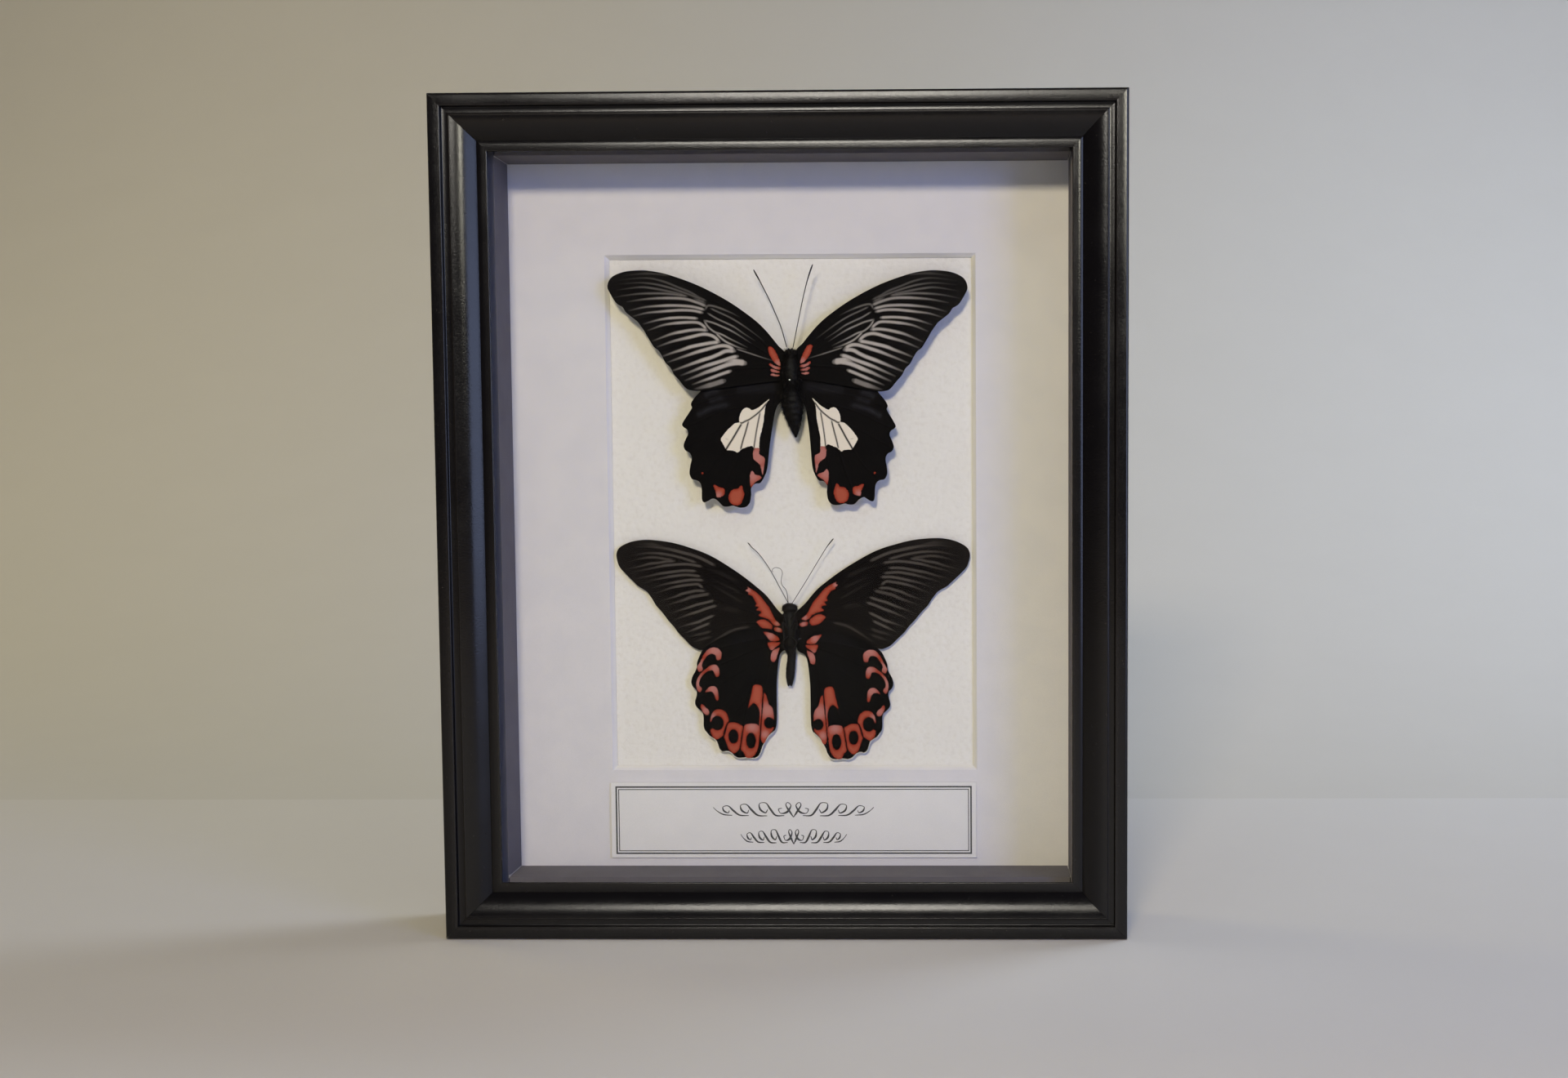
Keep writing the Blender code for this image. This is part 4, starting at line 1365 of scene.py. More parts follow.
def upper_forewing() -> WingShape:
    """The upper specimen's forewing, seen from above."""
    rays = [
        Streak([(25.6, 22.4), (29, 23.8), (33, 24.9), (38, 25.2), (43, 25.1), (47, 24.8),
                (52.5, 24.0)], 0.8, 0.62),
        Streak([(26.2, 21.2), (30, 22.2), (34, 22.6), (38, 22.7), (43, 22.5), (47, 22.1),
                (52, 21)], 0.75, 0.8),
        Streak([(26.8, 20.2), (30, 20.9), (34, 21.1), (38, 20.9), (42, 20.6), (46, 20.2),
                (50.5, 19.1)], 0.75, 0.85),
        Streak([(28.6, 18.3), (33, 18.6), (37, 18.5), (40, 18.2), (43, 17.6), (47, 16.5)],
               0.75, 0.9),
        Streak([(25.6, 14.6), (26.6, 15.8), (28.3, 16.8), (31, 17), (35, 16.8), (38, 16.5),
                (41, 15.9), (45.5, 14.3)], 0.8, 0.85),
        Streak([(25.3, 14.2), (28, 14.5), (31, 14.3), (34, 13.8), (37, 13.2), (40, 12.2),
                (44, 10.7)], 0.85, 0.85),
        Streak([(21.2, 10.3), (22.6, 11.8), (24.5, 12.7), (27, 12.9), (31, 12), (35, 11.1),
                (38, 10.3), (42.5, 8.7)], 0.95, 0.95),
        Streak([(21.3, 10.3), (24, 10), (27, 9.5), (31, 8.7), (34, 7.7), (37, 6.8),
                (41, 5.4)], 1.0, 1.0),
        Streak([(16.3, 7.7), (18.3, 8.8), (20.5, 9), (23, 8.5), (26, 7.7), (29, 6.9),
                (32, 5.9), (35, 4.9), (39, 3.5)], 1.0, 1.0),
        Streak([(16, 7.2), (19, 7.2), (21.5, 6.1), (24, 5.1), (27, 4.2), (30, 3.2),
                (32, 2.5), (34, 1.8), (38, 0.4)], 1.1, 1.0),
        Streak([(15, 5.4), (17, 5), (20, 4), (23, 3.1), (26, 2.2), (28, 1.5), (30, 0.7),
                (34.5, -1)], 1.05, 1.0),
        Streak([(12.4, 3.2), (15, 3.1), (17.5, 2.8), (20, 2.1), (23, 1), (26, 0),
                (28.5, -1), (33, -2.7)], 1.25, 1.0),
        Streak([(12.6, 3.1), (14.5, 3.4), (17.2, 3.6), (20, 2.6)], 1.9, 1.0),
        Streak([(17.4, 0.5), (21, -0.7), (24, -1.8), (27, -2.8), (30.6, -4.1)], 0.9, 0.95),
        Streak([(19.6, -2.8), (23.5, -4), (26.5, -4.8), (30, -5.7)], 1.5, 0.45),
        Streak([(26.2, 17.4), (25, 15.5), (22.8, 13.7), (20.5, 12.9), (17.5, 11.3),
                (14.6, 9.9), (11.6, 8.4)], 0.45, 0.72),
        Streak([(22.3, 13.3), (20.8, 11.8), (19, 10.4), (17, 9.4), (14.6, 8.4),
                (12, 7.6)], 0.5, 0.85),
        Streak([(26.2, 17.6), (23, 16.7), (20, 15.4), (17, 14), (14, 12.2), (10.4, 9.8)],
               0.45, 0.62),
        Streak([(25, 20), (22, 18.2), (19, 16.8), (16, 15.3), (13, 13.2), (9, 10.6)],
               0.4, 0.45),
        Streak([(24, 21.6), (21, 20.2), (18, 18.8), (15, 17.1), (12, 15.1), (9, 12.9),
                (6, 10.6)], 0.4, 0.3),
        Streak([(25.8, 21.2), (25, 22.5), (23, 22.4), (20, 21.4), (17, 20.1), (14, 18.6)],
               0.5, 0.3),
        Streak([(15.3, 7.9), (13, 7.1), (10, 6.1), (7, 5.1), (3.8, 4.1), (2.6, 3.7)],
               0.28, 0.5),
        Streak([(25.5, 24.2), (28, 25.4), (31, 27.2), (35, 28.8), (40, 30.8), (46, 32),
                (55, 31.4)], 0.6, 0.16),
        Streak([(27, 24.8), (33, 27), (38, 28.7), (43, 29.9), (48, 30.4), (55, 30)],
               0.6, 0.2),
        Streak([(33, 26.2), (38, 27.4), (43, 28.4), (48, 28.9), (56, 28.0)], 0.6, 0.22),
        Streak([(32, 25.8), (37, 26.5), (42, 26.8), (48, 26.7), (52, 26.3), (57, 25.5)],
               0.6, 0.3),
        Streak([(38, 33), (46, 33.5), (54, 32.8)], 0.7, 0.08),
        Streak([(26, 23.4), (28, 24.2), (30, 25.4)], 1.2, 0.2),
    ]
    ribs = [
        Streak([(2, 6), (10, 13.5), (20, 22.5), (30, 26.3), (42, 29.5), (56, 31)]),
        Streak([(3, 5), (12, 10.8), (20, 17.5), (25.2, 23.3), (30, 23), (42, 23.9), (54, 23)]),
        Streak([(25.4, 22.5), (27.2, 19.4), (33, 19.8), (42, 19.2), (49, 18)]),
        Streak([(27.2, 19.4), (26.5, 15.9), (33, 15.4), (40, 14.2), (45, 12.8)]),
        Streak([(26.5, 15.9), (22.6, 11.4), (30, 10.4), (38, 8.4), (42, 7.4)]),
        Streak([(3, 3.6), (12, 6.8), (16.2, 7.6), (22.6, 11.4)]),
        Streak([(16.2, 7.6), (22, 7.4), (30, 5), (38, 2.6)]),
        Streak([(15.2, 6.4), (22, 5.3), (30, 2), (36, -0.6)]),
        Streak([(3, 1.6), (14, 1.2), (24, -0.4), (33, -4)]),
    ]
    reds = [
        [(0.4, 2.3), (0.8, 4.1), (1.8, 6.4), (2.9, 8.2), (3.9, 8.6), (4.6, 8.2), (4.4, 6.8),
         (3.8, 5.2), (2.8, 3.6), (1.8, 2.7), (1.0, 2.2)],
        [(0.4, 1.5), (1.6, 1.9), (2.6, 2.2), (3.9, 3.0), (4.2, 2.4), (3.2, 1.6), (2.0, 1.0),
         (0.8, 0.9)],
        [(0.6, 0.2), (1.8, 0.5), (3.4, 1.1), (4.0, 0.7), (3.0, -0.1), (1.8, -0.2),
         (0.8, -0.2)],
        [(0.8, -1.0), (2.0, -0.8), (3.4, -0.5), (3.8, -1.0), (2.6, -1.4), (1.4, -1.4)],
    ]
    return WingShape(
        name="upper_forewing", depth=25.6,
        scales=WingScales("upper_fore_scales", (0.0022, 0.0018, 0.0018),
                          (0.0048, 0.0034, 0.0032), (0.52, 0.475, 0.44)),
        outline=[
            (-2.2, -2.6), (-2.6, 2.0), (-2.1, 5.0), (-0.7, 7.2), (1.0, 8.8), (3.0, 11.3), (6.0, 14.8),
            (10.0, 18.4), (18.0, 24.0), (28.0, 29.3), (38.0, 33.0), (44.0, 34.3),
            (48.0, 34.6), (53.0, 34.2), (56.5, 33.0), (58.3, 31.5), (59.1, 29.2),
            (58.4, 27.2), (56.5, 24.0), (55.2, 22.9), (54.0, 22.2), (53.0, 20.6),
            (51.5, 19.3), (50.1, 18.2), (48.9, 17.2), (47.9, 15.8), (46.9, 14.4),
            (45.9, 12.6), (44.6, 10.4), (43.5, 8.7), (42.0, 7.5), (40.7, 5.4), (39.6, 3.3),
            (38.0, 1.7), (36.9, -0.5), (35.0, -2.7), (33.0, -5.1), (31.2, -6.0),
            (27.0, -6.2), (18.0, -5.0), (10.0, -4.0), (3.0, -3.2)],
        seats=((-1, -2.0, 50.0, 0.0, 1.0, 1.0), (1, 3.77, 50.72, -2.27, 0.954, 1.015)),
        fan_centre=(-16.0, 26.0), rays=rays, ribs=ribs, reds=reds,
        pinks=((2.4, 1.4, 1.6), (2.3, -0.9, 1.8), (1.2, 3.0, 1.2)), margin_dust=0.015)


def upper_hindwing() -> WingShape:
    """The upper specimen's hindwing, seen from above."""
    veins = [
        Streak([(5.2, -5.2), (7, -7.5), (8.6, -9), (10.2, -10.2), (11.4, -11),
                (12.8, -11.6), (14, -12.2), (14.9, -11.7)], 0.52, 1.0),
        Streak([(13.9, -12.2), (15.5, -14.8), (17, -17.3), (18.5, -19.6), (20, -22)],
               0.62, 1.0),
        Streak([(11.6, -11.4), (12.8, -15.5), (13.6, -18), (14.6, -21.6)], 0.5, 1.0),
        Streak([(7.6, -8.5), (8.4, -12), (9.1, -15.5), (9.6, -18.5), (10.1, -22)], 0.46, 0.95),
        Streak([(18.6, -17.8), (19.9, -17.4)], 0.3, 0.5),
    ]
    ribs = [
        Streak([(3, 0), (12, -1.8), (22, -3.4), (30, -6)]),
        Streak([(3, -1), (10, -5.5), (20, -8), (32, -13)]),
        Streak([(14.5, -11.6), (22, -14.5), (33, -20)]),
        Streak([(19.5, -21), (24, -27), (29.5, -31.5)]),
        Streak([(14.6, -21.6), (17, -28), (20, -35), (23.5, -38)]),
        Streak([(10.1, -22), (11.5, -28), (12.8, -35), (14.5, -40.5)]),
        Streak([(2, -2), (4.4, -12), (6, -22), (7, -31)]),
    ]
    # Painted sheen: streaks where a blue-grey highlight is painted into the wing's colour.
    sheens = [
        Streak([(18.5, -5.9), (21, -6.3), (24, -7), (27, -8.3), (29.5, -9.8)], 0.9, 0.5),
        Streak([(20, -3.6), (22.5, -4), (25.5, -5)], 0.8, 0.35),
        Streak([(21.5, -1.2), (24.5, -1.8), (27, -3.2)], 1.2, 0.4),
        Streak([(2, 0), (8, -0.4), (16, -0.6)], 3.0, 0.15),
    ]
    whites = [[
        (4.5, -4.2), (5.4, -4.7), (6.6, -5.7), (8, -6.8), (9.5, -7.6), (10.6, -7.8),
        (11.3, -7.2), (12.6, -7), (13.5, -7.6), (14.2, -8.6), (14.7, -10), (14.8, -11.2),
        (14.9, -12.0), (16.2, -12.2), (17.5, -13.2), (19, -14.6), (20.4, -16.3),
        (21.2, -17.6), (20.7, -18.9), (20, -20.2), (19.2, -21.4), (18, -21.5),
        (16.4, -21.8), (15.6, -22.3), (14.8, -21.7), (13.9, -21), (13, -20.7), (12, -20.3),
        (10.6, -20), (10.1, -20.6), (9.9, -21.6), (9, -22.2), (8.2, -21.4), (8.1, -20),
        (7.8, -17), (7, -14), (6.4, -11), (6.1, -8.5), (5.8, -6.6), (5.2, -5.2)]]
    reds = [
        [(8.1, -20.9), (9, -20.7), (9.9, -20.9), (10.2, -22), (10.2, -23.8), (9.8, -24.8),
         (8.8, -25.6), (8, -26.4), (7.6, -27.6), (7.3, -29), (7.0, -30), (6.7, -28.5),
         (6.5, -27), (6.2, -25), (6.4, -24), (7.3, -23.4), (8.1, -22.7)],
        [(10.7, -28.5), (11.3, -29.6), (11.4, -31.5), (11.3, -33), (10.9, -34.3),
         (10.3, -33.7), (9.8, -32.6), (8.6, -31.8), (7.4, -30.9), (8, -30.2), (9.4, -29.8),
         (10, -29.2)],
        [(14.2, -33.5), (15, -33.9), (15.7, -34.6), (17, -34.7), (18.1, -35.5),
         (18.8, -37.0), (18.5, -39), (17.4, -40), (15.8, -40.3), (14.6, -39.6), (13.8, -38),
         (13.4, -36.6), (13.8, -34.9)],
        [(20.1, -36), (20.1, -35), (20.7, -34.3), (22, -34), (23.2, -33.3), (24, -33.4),
         (23.7, -34.4), (23.2, -35.8), (23, -37.3), (22.2, -37.5), (21, -37.2),
         (20.4, -36.7)],
        [(27.3, -29.2), (27.7, -28.8), (28.1, -29.2), (27.7, -29.6)],
    ]
    return WingShape(
        name="upper_hindwing", depth=26.4,
        scales=WingScales("upper_hind_scales", (0.0027, 0.0021, 0.0022),
                          (0.0051, 0.0038, 0.0036), (0.16, 0.13, 0.12)),
        outline=[
            (-2.0, -2.6), (-2.4, 1.4), (0.7, 2.6), (8.0, 3.0), (18.0, 2.5), (26.0, 0.5), (28.2, -1.6),
            (30.2, -3.7), (31.3, -5.6), (31.0, -6.9), (32.0, -8.6), (33.4, -10.7),
            (34.4, -12.5), (33.9, -13.5), (32.7, -14.4), (32.4, -15.8), (33.3, -17.7),
            (34.0, -19.8), (33.4, -21.4), (31.9, -22.4), (31.3, -24.2), (31.8, -26.6),
            (32.1, -29.2), (31.3, -31.2), (29.4, -31.8), (28.3, -33.0), (28.0, -35.0),
            (28.0, -38.0), (27.4, -39.2), (26.1, -38.9), (24.2, -37.9), (22.6, -38.7),
            (20.8, -40.5), (19.0, -40.7), (17.5, -40.4), (15.8, -40.9), (14.4, -41.1),
            (12.7, -40.7), (11.5, -39.2), (11.0, -36.6), (11.0, -34.4), (9.8, -33.0),
            (8.0, -32.7), (6.8, -31.2), (5.8, -29.0), (5.2, -26.0), (4.5, -20.0),
            (3.3, -12.5), (1.8, -6.5)],
        seats=((-1, -2.0, 45.0, 0.0, 1.0, 1.0), (1, 4.0, 45.38, -2.72, 0.966, 0.976)),
        fan_centre=(0.0, 2.0), veins=veins, ribs=ribs, sheens=sheens, whites=whites, reds=reds,
        pinks=((8.8, -23.5, 4.2), (7.0, -28.5, 2.4), (10.6, -30.0, 3.0), (22.4, -36.8, 1.4)))


def lower_forewing() -> WingShape:
    """The lower specimen's forewing, seen from below."""
    rays = [
        Streak([(24.5, 22), (29, 24.3), (32, 25.5), (35, 26.3), (38, 27.1), (41, 27.8),
                (44, 28.2), (48, 28.6), (52, 28.4)], 0.95, 0.75),
        Streak([(31, 23), (34, 24), (37, 24.9), (40, 25.6), (43, 26.1), (46, 26.3),
                (49, 26.2), (52, 25.7), (55, 24.9)], 0.75, 0.75),
        Streak([(39, 23.8), (42, 24.3), (45, 24.8), (48, 24.7), (51, 24.2), (54.5, 23.2)],
               0.75, 0.6),
        Streak([(38.3, 23.5), (41, 23.4), (44, 22.9), (47, 22.6), (50, 21.8), (53, 21.2),
                (55.5, 20.5)], 0.75, 0.75),
        Streak([(29, 21.6), (33, 22.3), (36, 22.4), (39, 22.2), (42, 21.9), (45, 21.3),
                (48, 20.7), (51, 20.1), (53.5, 19.3)], 0.8, 0.85),
        Streak([(31, 20), (35, 20.2), (38, 19.9), (41, 19.5), (44, 19.1), (47, 18.4),
                (50, 17.8), (52.5, 17.1)], 0.8, 0.85),
        Streak([(29.5, 18.2), (34, 18.7), (37, 18.5), (40, 18.1), (43, 17.5), (46, 16.9),
                (49, 16.1)], 0.8, 0.85),
        Streak([(28.5, 16.8), (32, 17), (35, 16.7), (38, 16.2), (41, 15.7), (44, 14.9),
                (46.5, 14.1)], 0.8, 0.9),
        Streak([(28.7, 14.2), (30.3, 15.4), (32, 15.4), (35, 15.1), (38, 14.6), (40, 14.1),
                (42, 13.4), (45.5, 12.3)], 0.8, 0.9),
        Streak([(28, 13.1), (31, 13.2), (33, 12.8), (36, 12.1), (38, 11.3), (40, 10.7),
                (43.5, 9.7)], 0.8, 0.85),
        Streak([(26.5, 12.1), (30, 11.5), (33, 10.9), (35, 10.1), (38, 9.2), (42, 8)],
               0.95, 0.72),
        Streak([(25, 9.8), (28, 9), (31, 8.3), (33, 7.6), (35, 7), (37, 6.4), (40.5, 5.4)],
               0.75, 0.95),
        Streak([(24, 8), (27, 7.2), (30, 6.1), (33, 5.2), (35, 4.5), (37, 3.8), (39, 3)],
               0.8, 0.95),
        Streak([(25, 4.6), (28, 3.4), (30, 2.5), (32, 1.9), (34, 1.4), (37.5, 0.4)],
               0.75, 1.0),
        Streak([(26.5, 1.9), (29, 0.9), (31, 0.1), (33, -0.7), (35, -1.5)], 0.75, 1.0),
        Streak([(26, -0.8), (29, -1.7), (32, -2.3), (34, -3)], 0.8, 0.38),
        Streak([(26, -2.8), (30, -3.9), (33, -4.8)], 0.8, 0.3),
        Streak([(13, 0.6), (18, -0.4), (22, -2.4), (25, -4.1), (28.6, -6.4)], 0.75, 0.42),
        Streak([(15, 9), (20, 12), (24, 14.4), (28, 16)], 0.8, 0.12),
        Streak([(16, 12.6), (20, 14.6), (26, 17.6)], 0.8, 0.12),
        Streak([(17, 16.4), (22, 19), (28, 21)], 1.2, 0.1),
        Streak([(16, 6), (21, 7), (25, 6.8)], 1.4, 0.08),
        Streak([(41, 27.6), (46, 29.2), (51, 29.4)], 1.2, 0.25),
    ]
    ribs = [
        Streak([(3, 5), (10, 12.8), (20, 20.4), (30, 24.4), (40, 26.6), (52, 27.4)]),
        Streak([(3, 4), (12, 11), (22, 18.4), (30, 21), (40, 21), (52, 18.5)]),
        Streak([(27.5, 19), (28.3, 15.8), (36, 15.9), (46, 13.2)]),
        Streak([(28.3, 15.8), (25, 10.8), (34, 8.8), (41, 6.6)]),
        Streak([(3, 2.6), (14, 6.4), (25, 10.8)]),
        Streak([(20, 8.6), (30, 4.4), (38, 2)]),
        Streak([(3, 1), (14, 2), (26, -0.4), (34, -3.6)]),
    ]
    reds = [
        [(2.9, 1.7), (3.8, 3.1), (4.7, 5.2), (5.7, 7.2), (7.2, 9.2), (8.8, 11.3),
         (10.6, 12.9), (12.4, 14), (13.4, 14.6), (13.0, 13.8), (13.9, 13.2), (12.9, 12.6),
         (13.0, 11.9), (11.5, 11.2), (10.7, 9.8), (10.1, 8.6), (10.6, 7.8), (9.4, 7.4),
         (10.2, 6.4), (9.0, 6.2), (8.5, 5.4), (9.5, 4.6), (8.0, 3.9), (6.6, 3.4),
         (5.2, 2.6), (4.0, 1.8)],
        [(4.7, 0.9), (5.6, 2), (7, 2.9), (8.4, 3.2), (9.6, 2.8), (10.2, 2.3), (9.5, 1.4),
         (8.8, 0.6), (7.6, -0.3), (6, -0.7), (5, -0.3)],
        [(1.9, 1.2), (2.8, 2.2), (4.0, 3.0), (5.2, 2.5), (4.4, 1.5), (3.2, 0.8)],
        [(1.2, -0.6), (2.4, 0.3), (3.9, 0.4), (4.1, -0.6), (2.8, -1.3), (1.6, -1.3)],
    ]
    return WingShape(
        name="lower_forewing", depth=30.2,
        scales=WingScales("lower_fore_scales", (0.0041, 0.0030, 0.0028),
                          (0.0070, 0.0052, 0.0045), (0.105, 0.090, 0.078)),
        outline=[
            (-0.8, -2.4), (-1.2, 1.6), (0.6, 4.2), (3.0, 6.7), (5.5, 10.0), (8.0, 12.7), (15.0, 18.4),
            (23.0, 23.7), (28.0, 26.3), (33.0, 28.1), (38.0, 29.6), (43.0, 30.5),
            (48.0, 30.9), (52.0, 30.5), (55.0, 29.6), (57.5, 28.1), (58.5, 26.0),
            (58.2, 23.5), (57.5, 21.6), (56.0, 19.8), (54.0, 17.7), (52.2, 15.9),
            (51.2, 14.9), (48.4, 13.1), (47.2, 11.7), (46.2, 10.2), (44.9, 8.0),
            (43.2, 6.1), (41.9, 4.4), (40.8, 2.9), (38.8, 0.6), (37.4, -1.4), (35.2, -3.7),
            (33.0, -6.0), (31.0, -7.1), (29.3, -7.4), (23.0, -6.5), (13.0, -5.6),
            (4.0, -5.4), (0.0, -4.8)],
        seats=((-1, -2.0, -38.0, 0.0, 1.0, 1.0), (1, 1.43, -35.9, -3.26, 1.007, 1.029)),
        fan_centre=(-16.0, 24.0), rays=rays, ribs=ribs, reds=reds,
        pinks=((13.0, 13.4, 1.0), (3.0, 1.8, 0.9), (2.6, -0.4, 1.0)), margin_dust=0.16)


def lower_hindwing() -> WingShape:
    """The lower specimen's hindwing, seen from below."""
    reds = [
        [(22.4, -3.6), (22.3, -2.6), (22.9, -1.4), (24, -0.6), (25.4, -0.5), (26.8, -1),
         (28, -2.2), (29, -3.8), (29.9, -5.6), (30.8, -7), (30.8, -8), (30.2, -8.9),
         (29.2, -8.5), (29, -7.6), (29.3, -6.6), (28.8, -5.4), (28, -4.2), (27.2, -3.2),
         (26, -2.7), (25, -2.8), (24.3, -3.6), (24.1, -4.7), (23.2, -4.9), (22.6, -4.4)],
        [(23.2, -9.6), (23.3, -8), (23.9, -6.9), (25, -6.4), (26.6, -6.9), (28, -8),
         (29.4, -9.2), (30.6, -10.8), (31.2, -12.6), (31.2, -14.2), (30.8, -15.6),
         (30.1, -16), (29.4, -15.2), (29.5, -14.3), (30.2, -13.8), (30.2, -12.2),
         (29.6, -10.9), (28.4, -9.5), (27.2, -8.7), (26, -8.4), (25.2, -8.8), (24.9, -9.8),
         (24.2, -10.7), (23.4, -10.4)],
        [(23.6, -17.6), (23.8, -15.6), (24.4, -14.4), (25.6, -13.9), (26.9, -14.3),
         (28, -15.6), (28.1, -16.1), (27.2, -15.8), (26, -15.9), (25.1, -16.8),
         (24.8, -18), (24.2, -19), (23.7, -18.6)],
        [(26.9, -23), (27.3, -22), (28.2, -21.4), (29, -20.4), (29.6, -20.2),
         (29.9, -21.2), (29.4, -22.4), (28.8, -23.4), (28, -24), (27.2, -23.8)],
        [(20.2, -25.4), (20.8, -23.6), (22, -22.4), (23.4, -22), (25, -22.4), (26, -23.6),
         (26.5, -25.4), (26.6, -27.4), (26.5, -29.4), (26.2, -31), (25.4, -32),
         (24.4, -32.6), (23, -31.8), (22.2, -31.1), (22, -30.2), (21.5, -28.6), (20.9, -27),
         (20.3, -26.4)],
        [(15.2, -28.2), (16.2, -27.4), (17.6, -26.7), (19, -26.6), (20.2, -26.9),
         (20.8, -28), (21.3, -30), (21.8, -31.6), (21.2, -33.4), (20.7, -35), (20.3, -36),
         (19.2, -37.1), (18.4, -37.5), (17.4, -36.7), (16.6, -35.8), (16.2, -33.8),
         (15.8, -31), (15.5, -29.4)],
        [(9.3, -28.4), (10.2, -27.4), (12, -27), (14.2, -27.3), (14.8, -28), (15.2, -29.8),
         (15.5, -32), (15.9, -34.4), (16.1, -36), (15.1, -37.2), (14.5, -38.4),
         (14, -39.1), (12.6, -39.0), (11.4, -38.2), (10.4, -36.6), (9.9, -34.6), (9.6, -32),
         (9.3, -30)],
        [(8.3, -17), (8.3, -15), (8.7, -13.9), (9.6, -13.5), (10.8, -13.4), (11.6, -14),
         (12, -15.6), (12.4, -17.6), (12.9, -19.6), (13.3, -21.5), (12.6, -20.8),
         (11.8, -20), (11, -20), (10.2, -20.8), (9.5, -22.4), (9.4, -24.6), (9.6, -27),
         (9.3, -28.4), (9, -26), (8.8, -24), (8.6, -20)],
        [(4.4, -25.4), (4.6, -22.8), (5.2, -21.2), (6.2, -20.3), (6.6, -18.6), (7.2, -16.8),
         (7.8, -16.6), (8, -18.4), (8.2, -21), (8.5, -24), (8.8, -27), (9, -30),
         (9.1, -32), (8.8, -33.2), (8.2, -34), (7.5, -33.4), (7, -32), (6.2, -30.9),
         (5.2, -29.8), (4.6, -28.8), (4.4, -27)],
        [(2.2, 2.4), (3.4, 3.6), (4.8, 4.4), (6.4, 4.8), (7.8, 4.9), (7.0, 3.8), (6.2, 2.8),
         (5.4, 1.9), (4.0, 1.6), (2.6, 1.8)],
        [(2.0, 1.3), (3.4, 1.3), (5.0, 1.4), (6.3, 1.2), (6.2, 0.2), (5.4, -1.2), (4.6, -1.4),
         (3.6, -0.4), (2.4, 0.4)],
        [(2.3, -0.6), (3.4, -1.0), (4.5, -1.6), (5.2, -3.0), (5.3, -4.6), (4.6, -5.6),
         (3.6, -5.0), (3.1, -3.4), (2.6, -2.0)],
    ]
    ribs = [
        Streak([(3, 3), (12, 2), (22, -0.4), (29, -4)]),
        Streak([(3, 1), (12, -1.6), (22, -6), (31, -9.6)]),
        Streak([(13, -7), (20, -11.4), (30, -18)]),
        Streak([(13.4, -12), (18, -18), (22.6, -23.4)]),
        Streak([(11.6, -13), (14.5, -20), (20.8, -27), (22.4, -32)]),
        Streak([(10, -11), (12.6, -19), (15.2, -28), (16.2, -36)]),
        Streak([(5, -4), (7.4, -14), (8.6, -24), (9.2, -33)]),
    ]
    veins = [
        Streak([(8.0, -16.5), (8.3, -20), (8.6, -24), (9.0, -28), (9.3, -32), (9.8, -36)],
               0.22, 0.6),
        Streak([(14.9, -27.4), (15.4, -31), (15.8, -34), (16.3, -36.6)], 0.22, 0.55),
        Streak([(20.5, -26.6), (21.4, -29.6), (22, -31.8)], 0.22, 0.7),
    ]
    # Painted sheen: streaks where a faint blue-grey highlight is painted into the wing's colour.
    sheens = [
        Streak([(4, 4), (12, 3.4), (20, 1)], 3.0, 0.06),
        Streak([(8, -2), (12, -7), (15, -12)], 4.0, 0.03),
    ]
    return WingShape(
        name="lower_hindwing", depth=29.4,
        scales=WingScales("lower_hind_scales", (0.0016, 0.0013, 0.0013),
                          (0.0031, 0.0023, 0.0021), (0.10, 0.08, 0.07)),
        outline=[
            (-0.9, -0.6), (-1.0, 2.6), (1.4, 4.0), (3.2, 5.0), (6.0, 6.0), (12.0, 6.0), (18.0, 4.6),
            (23.0, 2.4), (26.5, 0.6), (28.8, -1.2), (30.0, -3.4), (30.9, -5.6),
            (31.0, -7.2), (31.6, -8.8), (32.6, -10.6), (33.0, -12.6), (32.4, -14.2),
            (31.3, -15.3), (31.2, -17.0), (31.8, -19.4), (31.5, -20.9), (30.3, -22.2),
            (29.2, -23.3), (28.9, -25.2), (28.9, -27.8), (28.3, -29.6), (27.0, -31.4),
            (25.0, -32.7), (24.2, -34.3), (23.6, -36.0), (22.4, -37.0), (21.0, -36.8),
            (19.6, -37.3), (18.4, -38.5), (17.0, -39.2), (15.6, -39.2), (14.3, -39.0),
            (13.0, -39.2), (11.6, -39.3), (10.2, -38.8), (9.1, -37.2), (8.4, -35.2),
            (7.5, -33.4), (6.0, -31.2), (4.4, -29.8), (3.6, -27.6), (3.4, -24.0),
            (3.4, -18.0), (3.3, -12.0), (2.6, -5.0), (1.6, -2.2)],
        seats=((-1, -2.0, -44.0, 0.0, 1.0, 1.0), (1, 2.94, -45.01, 0.26, 0.973, 0.987)),
        fan_centre=(0.0, 2.0), ribs=ribs, veins=veins, sheens=sheens, reds=reds,
        eyes=((24.1, -26.8, 2.15, 2.55), (26.6, -27.7, 1.2, 1.3), (18.6, -31.5, 1.75, 2.5),
              (12.5, -33.0, 1.7, 2.8), (6.1, -26.8, 1.8, 2.0), (4.3, -27.0, 1.2, 1.4)),
        pinks=((24.5, -1.2, 3.2), (29.8, -6.5, 2.0), (24.5, -7.6, 2.0), (30.8, -12.5, 3.0),
               (25.2, -15, 2.4), (28.0, -22.4, 1.6), (25.8, -24.5, 1.4), (6.6, -22.4, 2.8),
               (12.0, -28.2, 2.2), (7.6, -30.8, 1.4), (4.2, -2.8, 2.4), (5.4, 3.6, 1.6)),
        margin_dust=0.03, fringe=0.22)


# ---------------------------------------------------------------------------------------------
# Bodies, feelers, legs and hair
# ---------------------------------------------------------------------------------------------

